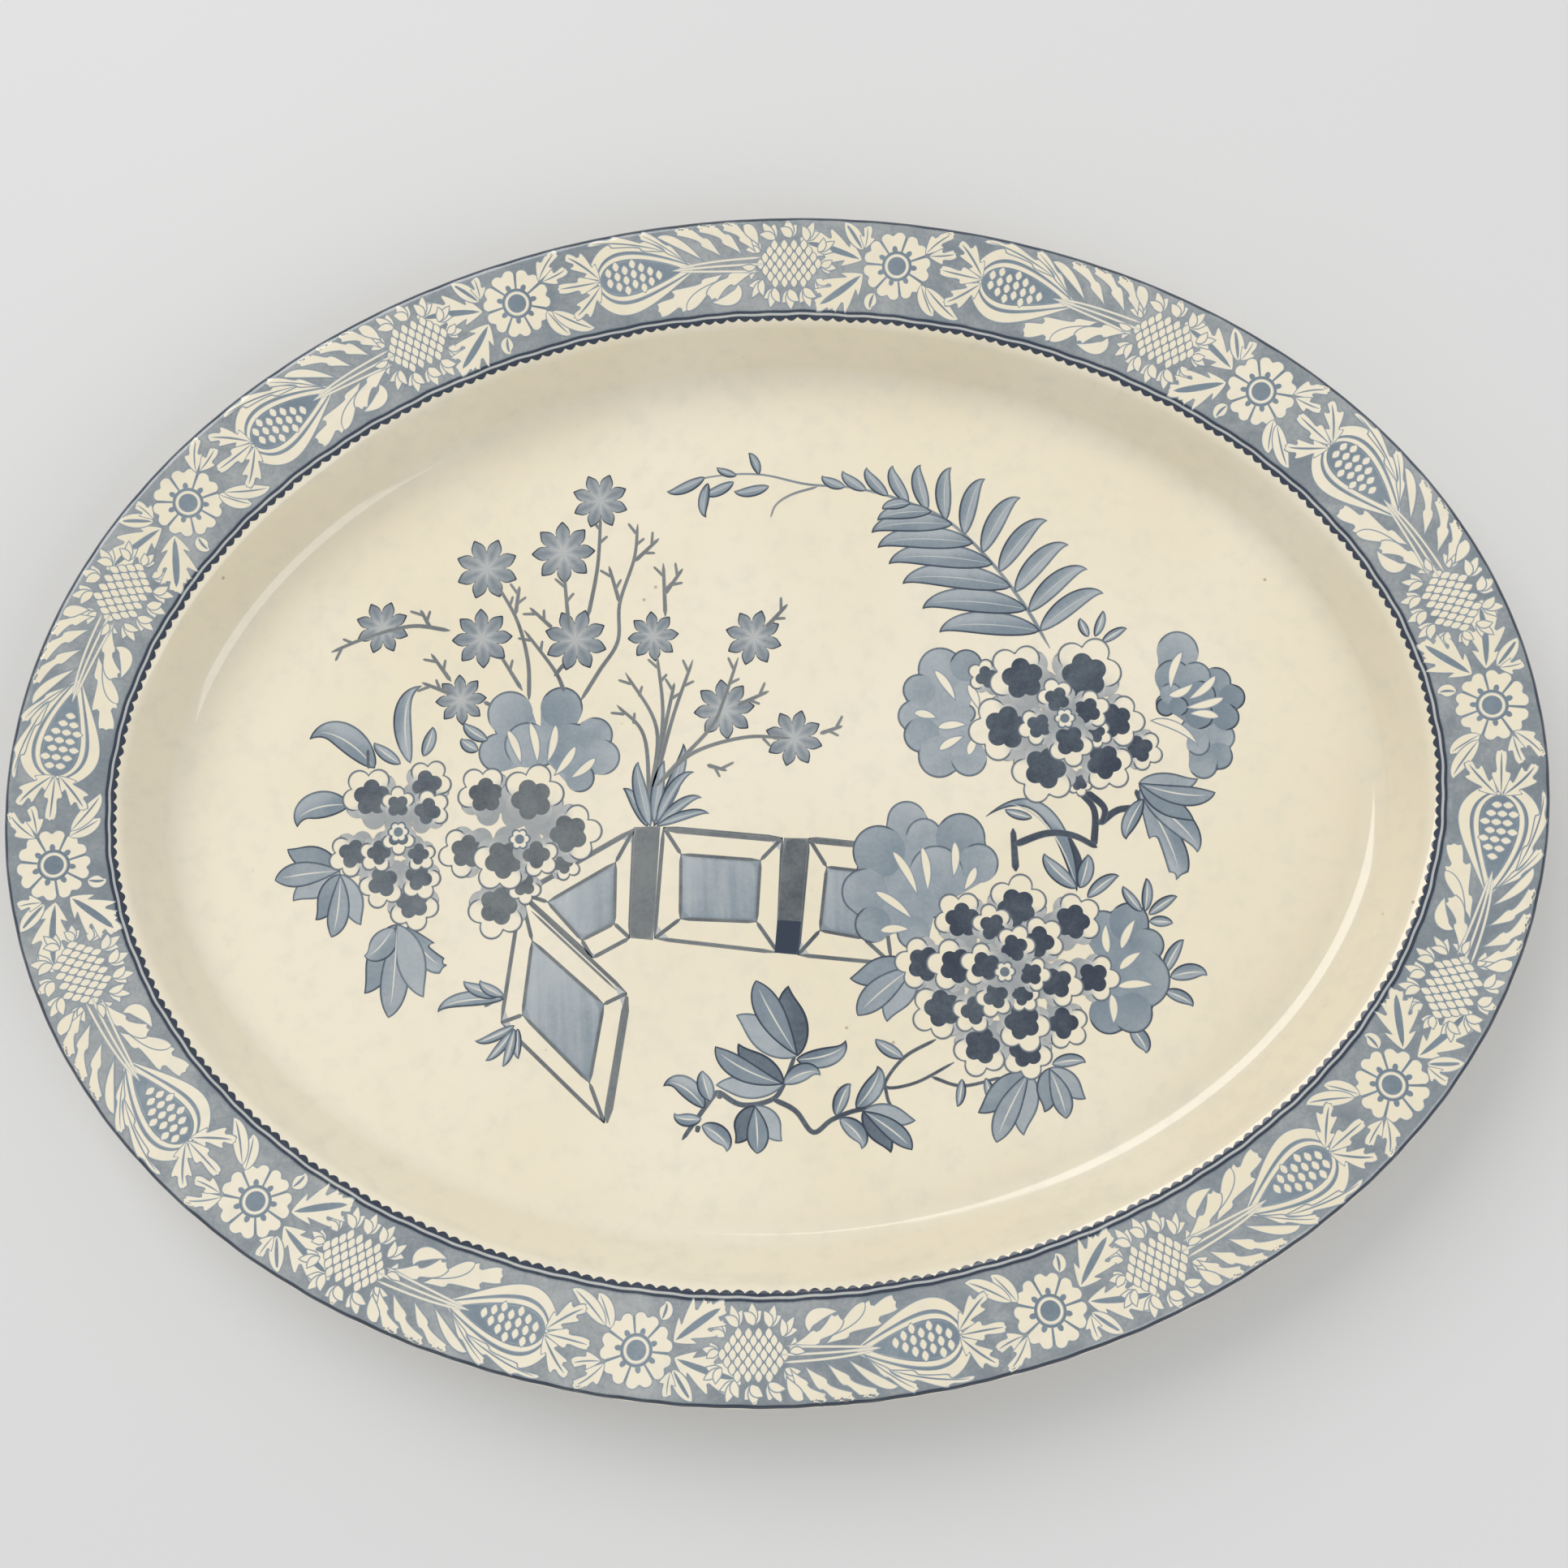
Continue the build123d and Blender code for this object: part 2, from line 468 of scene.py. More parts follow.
def noise(tree, place, scale, detail=2.0, roughness=0.5, distortion=0.0):
    """A noise texture read at a place, as its value."""
    node = add_node(tree, "ShaderNodeTexNoise", Scale=scale, Detail=detail, Roughness=roughness,
                    Distortion=distortion)
    tree.links.new(place, node.inputs["Vector"])
    return node.outputs["Fac"]


def span(tree, value, low, high, to_low=0.0, to_high=1.0):
    """A value's range from low to high carried smoothly to another range."""
    node = add_node(tree, "ShaderNodeMapRange", interpolation_type="SMOOTHSTEP")
    for socket, number in zip(node.inputs[1:5], (low, high, to_low, to_high)):
        socket.default_value = number
    tree.links.new(value, node.inputs["Value"])
    return node.outputs["Result"]


def blend_colour(tree, share, under, over, kind="MIX"):
    """One colour mixed over another by a share; each may be a socket or a colour."""
    node = add_node(tree, "ShaderNodeMix", data_type="RGBA", blend_type=kind)
    for socket, value in ((node.inputs[0], share), (node.inputs[6], under), (node.inputs[7], over)):
        if isinstance(value, bpy.types.NodeSocket):
            tree.links.new(value, socket)
        elif isinstance(value, (int, float)):
            socket.default_value = value
        else:
            socket.default_value = (*value, 1)
    return node.outputs[2]


def helpers(tree):
    """Nodes of one tree by short names: add, subtract, multiply, noise, span and mix."""
    sums = [partial(maths, tree, kind) for kind in ("ADD", "SUBTRACT", "MULTIPLY")]
    return (*sums, partial(noise, tree), partial(span, tree), partial(blend_colour, tree))


def new_group(name, inputs, outputs):
    """An empty shader group with named inputs and outputs, and its two end nodes."""
    tree = bpy.data.node_groups.new(name, "ShaderNodeTree")
    for label, kind, default in inputs:
        socket = tree.interface.new_socket(label, in_out="INPUT", socket_type=kind)
        if default is not None:
            socket.default_value = default
    for label, kind in outputs:
        tree.interface.new_socket(label, in_out="OUTPUT", socket_type=kind)
    return tree, tree.nodes.new("NodeGroupInput").outputs, tree.nodes.new("NodeGroupOutput").inputs


def build_glaze_group():
    """Clear glaze over cream clay: slight clouding, iron specks, faint wear and a soft ripple."""
    tree, given, result = new_group(
        "Cream glaze",
        [("Place", "NodeSocketVector", None), ("Cream", "NodeSocketColor", (0.8, 0.7, 0.55, 1))],
        [
            ("Colour", "NodeSocketColor"),
            ("Roughness", "NodeSocketFloat"),
            ("Height", "NodeSocketFloat"),
        ],
    )
    plus, _, times, noisy, spread, mix = helpers(tree)
    place = given["Place"]
    warm = mix(spread(noisy(place, 9.0, 3.0), 0.35, 0.7), (1, 1, 1), (0.965, 0.945, 0.90))
    toned = mix(1.0, given["Cream"], warm, "MULTIPLY")
    fine = noisy(place, 160.0, 4.0, 0.6)
    toned = mix(spread(fine, 0.45, 0.75, 0.0, 0.35), toned, (0.66, 0.62, 0.50))
    specks = add_node(tree, "ShaderNodeTexVoronoi", Scale=115.0, Randomness=1.0)
    tree.links.new(place, specks.inputs["Vector"])
    rare = spread(noisy(place, 37.0, 1.0), 0.60, 0.66)
    dot = times(spread(specks.outputs["Distance"], 0.035, 0.085, 1.0, 0.0), rare)
    toned = mix(times(dot, 0.55), toned, (0.20, 0.14, 0.08))
    tree.links.new(toned, result["Colour"])
    wear = spread(noisy(place, 22.0, 5.0, 0.65), 0.45, 0.75)
    tree.links.new(plus(times(wear, 0.10), 0.085), result["Roughness"])
    peel = times(noisy(place, 420.0, 1.0), 0.035)
    tree.links.new(plus(noisy(place, 26.0, 1.0), peel), result["Height"])


def build_ink_group():
    """Cobalt ink under the glaze: a wash that pools at its edge and is mottled by the paper."""
    tree, given, result = new_group(
        "Underglaze ink",
        [
            ("Place", "NodeSocketVector", None),
            ("Bare", "NodeSocketColor", (0.8, 0.7, 0.55, 1)),
            ("Ink", "NodeSocketFloat", 0.5),
            ("Edge", "NodeSocketFloat", 1.0),
            ("Warmth", "NodeSocketFloat", 0.0),
            ("Line width", "NodeSocketFloat", 0.5),
            ("Line ink", "NodeSocketFloat", 0.3),
            ("Mottle", "NodeSocketFloat", 0.2),
            ("Streak", "NodeSocketFloat", 0.0),
            ("Pale", "NodeSocketColor", (0.4, 0.45, 0.5, 1)),
            ("Middle", "NodeSocketColor", (0.2, 0.25, 0.3, 1)),
            ("Deep", "NodeSocketColor", (0.02, 0.03, 0.05, 1)),
        ],
        [("Colour", "NodeSocketColor")],
    )
    plus, minus, times, noisy, spread, mix = helpers(tree)
    place = given["Place"]
    inside = maths(tree, "DIVIDE", given["Edge"], given["Line width"])
    line = spread(minus(1.0, inside, clamp=True), 0.0, 0.75)
    ink = plus(given["Ink"], times(line, given["Line ink"]))
    patches = minus(noisy(place, 85.0, 3.0, 0.6, 0.4), 0.5)
    broad = minus(noisy(place, 14.0, 2.0), 0.5)
    grain = minus(noisy(place, 900.0, 2.0, 0.7), 0.5)
    sway = plus(plus(patches, broad), times(grain, 0.5))
    ink = plus(ink, times(times(sway, spread(ink, 0.05, 0.45)), given["Mottle"]))
    brush = add_node(tree, "ShaderNodeMapping", Scale=(1.0, 0.07, 1.0), Rotation=(0, 0, 0.10))
    tree.links.new(place, brush.inputs["Vector"])
    streak = minus(noisy(brush.outputs[0], 330.0, 3.0, 0.6), 0.5)
    ink = plus(ink, times(streak, given["Streak"]))
    cool = mix(spread(ink, 0.0, 0.30), given["Bare"], given["Pale"])
    cool = mix(spread(ink, 0.25, 0.62), cool, given["Middle"])
    cool = mix(spread(ink, 0.55, 1.0), cool, given["Deep"])
    browned = mix(1.0, cool, (1.07, 0.92, 0.79), "MULTIPLY")
    brown = times(given["Warmth"], spread(ink, 0.05, 0.40))
    tree.links.new(mix(brown, cool, browned), result["Colour"])


def new_material(name):
    """A new material, its nodes, its main shader and the place on the object in metres."""
    material = bpy.data.materials.new(name)
    material.use_nodes = True
    tree = material.node_tree
    place = tree.nodes.new("ShaderNodeTexCoord").outputs["Object"]
    return material, tree, tree.nodes["Principled BSDF"], place


def glazed_material(name, *ink):
    """Glossy glazed china. With ink settings, its colour is the print seen through the glaze.

    The settings are the edge line's width in mm and its ink, the mottle and the streaks.
    """
    material, tree, shader, place = new_material(name)
    shader.inputs["IOR"].default_value = 1.5
    shader.inputs["Coat Roughness"].default_value = 0.03
    shader.inputs["Coat Weight"].default_value = 0.35
    glaze = add_node(tree, "ShaderNodeGroup", node_tree=bpy.data.node_groups["Cream glaze"])
    glaze.inputs["Cream"].default_value = (*colours().cream, 1)
    tree.links.new(place, glaze.inputs["Place"])
    colour = glaze.outputs["Colour"]
    if ink:
        print_node = add_node(
            tree, "ShaderNodeGroup", node_tree=bpy.data.node_groups["Underglaze ink"]
        )
        tree.links.new(place, print_node.inputs["Place"])
        tree.links.new(colour, print_node.inputs["Bare"])
        for label, source in (("Ink", "ink"), ("Edge", "edge"), ("Warmth", "warm")):
            layer = add_node(tree, "ShaderNodeAttribute", attribute_name=source)
            tree.links.new(layer.outputs["Fac"], print_node.inputs[label])
        for label, value in zip(("Line width", "Line ink", "Mottle", "Streak"), ink):
            print_node.inputs[label].default_value = value
        for label in ("Pale", "Middle", "Deep"):
            tone = getattr(colours(), f"ink_{label.lower()}")
            print_node.inputs[label].default_value = (*tone, 1)
        colour = print_node.outputs["Colour"]
    tree.links.new(colour, shader.inputs["Base Color"])
    tree.links.new(glaze.outputs["Roughness"], shader.inputs["Roughness"])
    bump = add_node(tree, "ShaderNodeBump", Strength=0.12, Distance=0.0012)
    tree.links.new(glaze.outputs["Height"], bump.inputs["Height"])
    for side in ("Normal", "Coat Normal"):
        tree.links.new(bump.outputs["Normal"], shader.inputs[side])


def biscuit_material():
    """Bare fired clay: matt, gritty, browned by handling and scuffed pale where it stands."""
    material, tree, shader, place = new_material("Bare biscuit")
    grime = span(tree, noise(tree, place, 60.0, 5.0, 0.65), 0.40, 0.70)
    colour = blend_colour(tree, grime, tuple(colours().biscuit), (0.33, 0.25, 0.17))
    height = add_node(tree, "ShaderNodeSeparateXYZ")
    tree.links.new(place, height.inputs[0])
    tread = span(tree, height.outputs["Z"], 0.0001, 0.0005, 0.7, 0.0)
    scuff = maths(tree, "MULTIPLY", tread, span(tree, noise(tree, place, 300.0, 3.0), 0.4, 0.6))
    colour = blend_colour(tree, scuff, colour, (0.72, 0.65, 0.52))
    tree.links.new(colour, shader.inputs["Base Color"])
    grit = noise(tree, place, 1400.0, 3.0, 0.7)
    tree.links.new(span(tree, grit, 0.3, 0.7, 0.7, 0.95), shader.inputs["Roughness"])
    bump = add_node(tree, "ShaderNodeBump", Strength=0.6, Distance=0.0002)
    tree.links.new(grit, bump.inputs["Height"])
    tree.links.new(bump.outputs["Normal"], shader.inputs["Normal"])
    return material


# ---------------------------------------------------------------- operators: the dish


class PLATTER_OT_materials(Operator):
    """Builds the shared shader groups and the glazed and printed materials"""

    bl_idname = "platter.materials"
    bl_label = "Materials"

    def execute(self, context):
        build_glaze_group()
        build_ink_group()
        glazed_material("Clear glaze")
        glazed_material("Printed ink", 0.85, 0.40, 0.26)
        glazed_material("Printed ground", 0.9, 0.10, 0.42)
        glazed_material("Reserved white", 0.30, 0.22, 0.08)
        glazed_material("Petal white", 0.90, 0.76, 0.10)
        glazed_material("Petal shade", 0.80, 0.30, 0.16)
        glazed_material("Washed field", 1.4, 0.10, 0.20, 0.30)
        glazed_material("Reserved figure", 0.55, 0.52, 0.08)
        glazed_material("Printed line", 0.25, -0.15, 0.30)
        return {"FINISHED"}


class PLATTER_OT_clay(Operator):
    """Gives the clay body, bare only at its foot ring's tread, the look of fired biscuit"""

    bl_idname = "platter.clay"
    bl_label = "Clay body"

    def execute(self, context):
        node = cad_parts["clay_body"]
        node.data.materials.clear()
        node.data.materials.append(biscuit_material())
        return {"FINISHED"}


def shell_of(name, outline, inner, segments=400):
    """A closed shell round the platter between an outer and an inner section.

    The section's points are carried round the oval: each goes out from the rim line along
    its normal by the point's real part. Both floors run in as scaled copies of the floor's
    oval to a pole.
    """
    turn = 2 * pi * np.arange(segments) / segments
    edge, out = rim_line(turn)
    shares = np.array([0.04, 0.3, 0.6, 0.85, 0.96])[:, None]

    def carried(section):
        ring = edge[None, :] + out[None, :] * section.real[:, None]
        return ring, np.repeat(section.imag[:, None], segments, 1)

    def floor_rings(section_end):
        ring, level = carried(np.array([section_end]))
        return shares * ring, level + 0 * shares

    parts = [floor_rings(outline[0]), carried(outline), carried(inner), floor_rings(inner[-1])]
    last_ring, last_level = parts[3]
    parts[3] = (last_ring[::-1], last_level[::-1])
    ring = np.concatenate([p[0] for p in parts])
    level = np.concatenate([p[1] for p in parts])
    rows = ring.shape[0]
    points = np.stack([ring.real.ravel(), ring.imag.ravel(), level.ravel()], 1)
    poles = np.array([[0, 0, outline[0].imag], [0, 0, inner[-1].imag]])
    around = np.arange(segments)
    after = (around + 1) % segments
    top = np.full(segments, rows * segments)
    near = np.stack([top, after, around], 1)
    far = np.stack([top + 1, (rows - 1) * segments + around, (rows - 1) * segments + after], 1)
    quads = grid_quads(rows, segments, closed=True)[:, ::-1]
    return new_object(name, np.concatenate([points, poles]) * MM, [quads, near, far], SHELL_CREASE)


class PLATTER_OT_glaze(Operator):
    """Glazes the face, lip and back, and the recess inside the foot ring, as closed shells"""

    bl_idname = "platter.glaze"
    bl_label = "Glaze"

    def execute(self, context):
        size = sizes()
        face, way = clay_outline(bend=0.13, run=5.0)
        hidden, _ = clay_outline(bend=0.3, run=9.0)
        coat = shell_of("glaze_over_face_and_back", face + 1j * way * size.glaze, hidden[::-1])
        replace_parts(finish_piece(coat, "Clear glaze"), "glaze_coat")
        ring_x = face[-1].real + FOOT_LEAN - size.foot_width
        corners = np.array(
            [
                complex(-FLOOR_START, WELL_UNDERSIDE),
                complex(ring_x, WELL_UNDERSIDE),
                complex(ring_x + FOOT_LEAN, BARE_FOOT),
            ]
        )
        under, way = rounded_path(corners, [FOOT_ROOT_RADIUS], bend=0.2, run=5.0)
        recess = shell_of("glaze_in_foot_recess", under[::-1], under - 1j * way * size.glaze)
        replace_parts(finish_piece(recess, "Clear glaze"), "recess_glaze")
        return {"FINISHED"}


# ---------------------------------------------------------------- operators: the rim's border

# holds the face's map once the settings exist, as "map"
FACE = {}


def xy(*pairs):
    """Points given as pairs of numbers, as complex numbers."""
    return [complex(x, y) for x, y in pairs]


def vein_along(spine, end, width, ink, lift):
    """A vein along a leaf's spine, from near its base to the share of it given by end."""
    line = curve(spine, np.linspace(0.04, end, 4))
    return blade(line, width, ink, skew=1, full=0.5, rows=10, columns=3, lift=lift)


def drawn_leaf(base, tip, bow, width, teeth, *, lift, ink=0.45, shade=0.09, rib=0.6, rib_ink=0.03,
               bite=0.40, **look):
    """A leaf washed darker on one side, and its rib. Bow is its bend, which curls its tip."""
    spine = [base + (tip - base) * (along + 1j * bow * aside) for along, aside in LEAF_SPINE]
    look = {"rows": 28, "columns": 7, "skew": 0.76, "full": 0.85, **look}
    wash = blade(spine, width, ink, teeth=teeth, bite=bite, lift=lift, **look)
    spot = (wash.points - base) / (tip - base)
    side = np.clip((spot.imag - bow * 0.5) * abs(tip - base) / width * 5, -1, 1)
    wash = wash._replace(ink=wash.ink + shade * side + 0.8 * shade * (0.5 - spot.real))
    return wash, vein_along(spine, 0.84, rib, rib_ink, lift + 0.002)


class Motif:
    """Collects one motif's shapes by their kind of ink and prints each kind as one film.

    Shapes that may overlap are laid in turn, each a hair above the one before.
    """

    def __init__(self, name):
        self.name = name
        self.films = {}
        self.laid = 0

    def add(self, material, *shapes):
        """Adds shapes to the film of one kind of ink."""
        self.films.setdefault(material, []).extend(shapes)

    def next_lift(self, lift):
        """The lift of the next shape: a step above the last one, or at the bottom again."""
        self.laid += 1
        return lift + FILM_STEP * (self.laid % FILM_STEPS)

    def leaves(self, drawn, lift, body="Printed ink", line="Reserved white", **look):
        """Adds leaves, each given by base x, y, tip x, y, bow, width, teeth and rib width."""
        for bx, by, tx, ty, bow, width, teeth, *rib in drawn:
            own = {**look, "rib": rib[0]} if rib else look
            wash, vein = drawn_leaf(
                complex(bx, by), complex(tx, ty), bow, width, teeth, lift=self.next_lift(lift), **own
            )
            self.add(body, wash)
            if own.get("rib") != 0:
                self.add(line, vein)

    def three_lobed(self, rows, lift, ink=0.45, shade=0.07):
        """Adds leaves of a middle and two side lobes: rows of base x, y, tip x, y, bow, width.

        The side lobes run beside the middle one and turn out to end at 0.76 of the length,
        the left one washed paler and the right one darker.
        """
        for bx, by, tx, ty, bow, width in rows:
            base, way = complex(bx, by), complex(tx - bx, ty - by)
            half = width / abs(way) / 2
            look = {"rows": 26, "columns": 7}
            for side in (1, -1):
                spine = [base + way * (along + 1j * (bow * lean + side * half * aside))
                         for along, lean, aside in LOBE_SPINE]
                lobe = blade(spine, width * 0.50, ink - side * shade, skew=0.92, full=0.8,
                             lift=self.next_lift(lift), **look)
                self.add("Printed ink", lobe)
            spine = [base, base + way * (0.5 + 1j * bow), base + way * (0.85 + 0.6j * bow), base + way]
            middle = blade(spine, width * 0.48, ink, skew=0.95, full=0.85,
                           lift=self.next_lift(lift), **look)
            self.add("Printed ink", middle)
            self.add("Reserved white", vein_along(spine, 0.80, 0.6, 0.03, lift + 0.06))

    def lines(self, rows, width=1.0, ink=0.55, end=0.6, warm=0.7, lift=0.045, kind="Printed line"):
        """Adds lines given as rows of points, thinning towards their far ends."""
        for points in rows:
            self.add(kind, stroke(xy(*points), width, ink, end=end, warm=warm, lift=self.next_lift(lift)))

    def slits(self, rows, lift):
        """Adds white slits, each given by the x and y of its two ends and its bow."""
        for ax, ay, bx, by, *bow in rows:
            start, end = complex(ax, ay), complex(bx, by)
            middle = (start + end) / 2 + 1j * (end - start) * (bow[0] if bow else 0.10)
            slit = blade([start, middle, end], 2.9, 0.0, skew=0.8, rows=11, columns=5, lift=lift)
            self.add("Reserved figure", slit)

    def print(self, place, copies=(0,)):
        """Prints each kind of ink as one film, with a copy at each of the distances."""
        for material, shapes in self.films.items():
            kind = material.split()[-1]
            laid = [s._replace(points=s.points + at) for at in copies for s in shapes]
            print_film(f"{self.name}_{kind}", laid, place, material)

    def print_in_well(self):
        """Prints the motif once, on the well's floor."""
        self.print(FACE["map"].in_well)

    def print_round_rim(self):
        """Prints the motif at every repeat of the border."""
        face = FACE["map"]
        pitch = face.length[-1] / sizes().repeats
        self.print(face.on_rim, sizes().border_start + pitch * np.arange(sizes().repeats))


class PLATTER_OT_border_ground(Operator):
    """Prints the border's mottled ground, the lip line and the scalloped trim at the shoulder"""

    bl_idname = "platter.border_ground"
    bl_label = "Border ground and trim"

    def execute(self, context):
        rim = FACE["map"].on_rim
        print_film("border_ground", [self.band(1.2, 28.6, 0.485, 0.02)], rim, "Printed ground")
        print_film("border_halo", [self.band(28.9, 30.1, 0.17, 0.022)], rim, "Printed ground")
        trim = [
            self.band(0.5, 1.65, 1.0, 0.035),
            self.band(28.35, 29.25, 0.98, 0.035),
            self.band(29.9, 30.6, 1.0, 0.035, teeth=306, tooth=0.85),
        ]
        print_film("border_trim", trim, rim, "Printed line")
        return {"FINISHED"}

    def band(self, top, bottom, ink, lift, teeth=0, tooth=0.0):
        """A strip all round the rim, slightly uneven, scalloped below when it has teeth.

        A broad strip has more rows of points, closest where the rim bends at the lip.
        """
        around = FACE["map"].length[-1]
        columns = max(1080, teeth * 6)
        broad = bottom - top >= 4
        x = (np.arange(columns) / columns * around)[None, :]
        v = np.linspace(0, 1, 25 if broad else 4)[:, None] ** (1.8 if broad else 1)
        turn = 2 * pi * x / around
        low = bottom + tooth * abs(np.sin(teeth * turn / 2))
        sway = 0.10 * np.sin(47 * turn) + 0.08 * np.sin(113 * turn + 1)
        points = x - 1j * (top + sway + v * (low - top))
        edge = np.minimum(v, 1 - v) * (low - top)
        return make_shape(points, grid_quads(len(v), columns, closed=True), edge, ink, 0.45, lift)


class PLATTER_OT_border_florets(Operator):
    """Prints the border's seven-petalled florets with their ringed eyes"""

    bl_idname = "platter.border_florets"
    bl_label = "Border florets"

    def execute(self, context):
        centre, radius, petals = -13.9j, 10.6, 7
        # petals part in deep notches and each is nicked at its middle
        count = 24 * petals
        f = (np.arange(count) / 12.0 + 1) % 2 - 1
        reach = radius * (0.98 - 0.24 * abs(f) ** 7 - 0.10 * np.exp(-((f / 0.22) ** 2)))
        floret = Motif("border_floret")
        floret.add("Reserved figure", disc(centre, reach, 0.0, rings=5, lift=0.045))
        for k in range(petals):
            way = np.exp(2j * pi * k / petals)
            gap = way * np.exp(1j * pi / petals)
            ends = [centre + gap * r for r in (3.6, 6.5, 9.2)]
            floret.add("Printed line", stroke(ends, 0.55, 0.62, end=0.9, lift=0.052))
            seed = oval(centre + 5.0 * way, 1.15, 0.60, along=0.8, turn=np.angle(way), count=12,
                        rings=2, lift=0.054)
            floret.add("Printed line", seed)
        floret.add("Printed line", oval(centre, 4.5, 0.66, lift=0.058, rings=2))
        floret.add("Reserved figure", oval(centre, 3.9, 0.0, lift=0.064, rings=2))
        floret.add("Printed line", oval(centre, 2.8, 0.60, lift=0.070))
        floret.print_round_rim()
        return {"FINISHED"}


class PLATTER_OT_border_leaves(Operator):
    """Prints the leaves and sprigs that fill the border between its florets and fruit"""

    bl_idname = "platter.border_leaves"
    bl_label = "Border leaves"

    def execute(self, context):
        leaf = Motif("border_leaf")
        white = dict(lift=0.030, rows=18, columns=5, body="Reserved figure", line="Printed line",
                     ink=0.0, shade=0.0, rib_ink=0.60, bite=0.50)
        leaf.leaves((
            # the pair of large leaves that point back from the floret, inked along the middle
            (-10.5, -13.0, -29.5, -8.5, -0.08, 11, 4, 1.9), (-10, -17.0, -24.5, -27, 0.10, 12, 4, 2.1),
            # a split leaf and a bud beside the floret
            (-10.5, -10.0, -16.5, -2.0, -0.05, 4.6, 0, 1.1), (-10, -9.5, -10.0, -2.6, -0.15, 4.8, 2, 0.4),
            (-6, -22.5, -6.5, -27.6, -0.30, 4.4, 0, 0.9),
            # sprigs that follow the floret
            (8, -9.5, 16, -2.4, 0.20, 5.6, 2, 0.5), (9, -9.8, 17, -7.5, -0.15, 5.0, 2, 0.5),
            (8, -18.5, 13.5, -27.2, -0.12, 5.0, 0, 0.5), (9.5, -19, 21.5, -26.8, -0.14, 4.8, 0, 0.6),
            # the three-leaved tuft in front of the fruit
            (26, -14, 12.5, -13.0, 0.05, 5.6, 2, 0.6), (26, -13.5, 17.0, -4.5, -0.12, 6.2, 3, 0.7),
            (26, -15, 15.5, -22.5, 0.14, 6.4, 3, 0.7),
            # long leaf above the fruit
            (47, -8.5, 23.5, -3.3, -0.14, 3.8, 3, 0.5),
        ), **white)
        # the acanthus after the fruit: hooked lobes above the stalks, two broad scrolls below
        leaf.leaves((
            (53, -13.0, 39.0, -2.4, -0.10, 3.6, 2, 0.4), (58, -12.9, 44.6, -4.0, -0.14, 3.0, 0, 0),
            (64, -12.6, 49.4, -2.8, -0.18, 4.4, 2, 0), (70, -12.2, 56.0, -2.4, -0.20, 4.9, 2, 0),
            (73.5, -11.2, 63.5, -2.5, -0.22, 4.9, 2, 0), (74.5, -9.0, 70.0, -3.0, -0.16, 3.8, 0, 0),
            (64, -16.4, 41.5, -25.6, 0.06, 7.4, 3, 0), (61, -18.8, 51.0, -26.8, -0.05, 3.8, 0, 0),
            (73, -17.0, 59.0, -24.8, -0.25, 5.6, 2, 0), (58.5, -25.0, 67.5, -20.0, -0.48, 4.2, 0, 0),
        ), skew=1.25, full=0.75, **white)
        leaf.lines((
            ((50, -13.9), (60, -13.1), (75, -12.6)), ((48, -14.4), (60, -14.5), (76, -14.6)),
            ((50, -14.9), (60, -15.9), (74, -16.8)),
        ), width=0.75, ink=0.0, end=0.75, warm=0, lift=0.030, kind="Reserved white")
        leaf.print_round_rim()
        return {"FINISHED"}


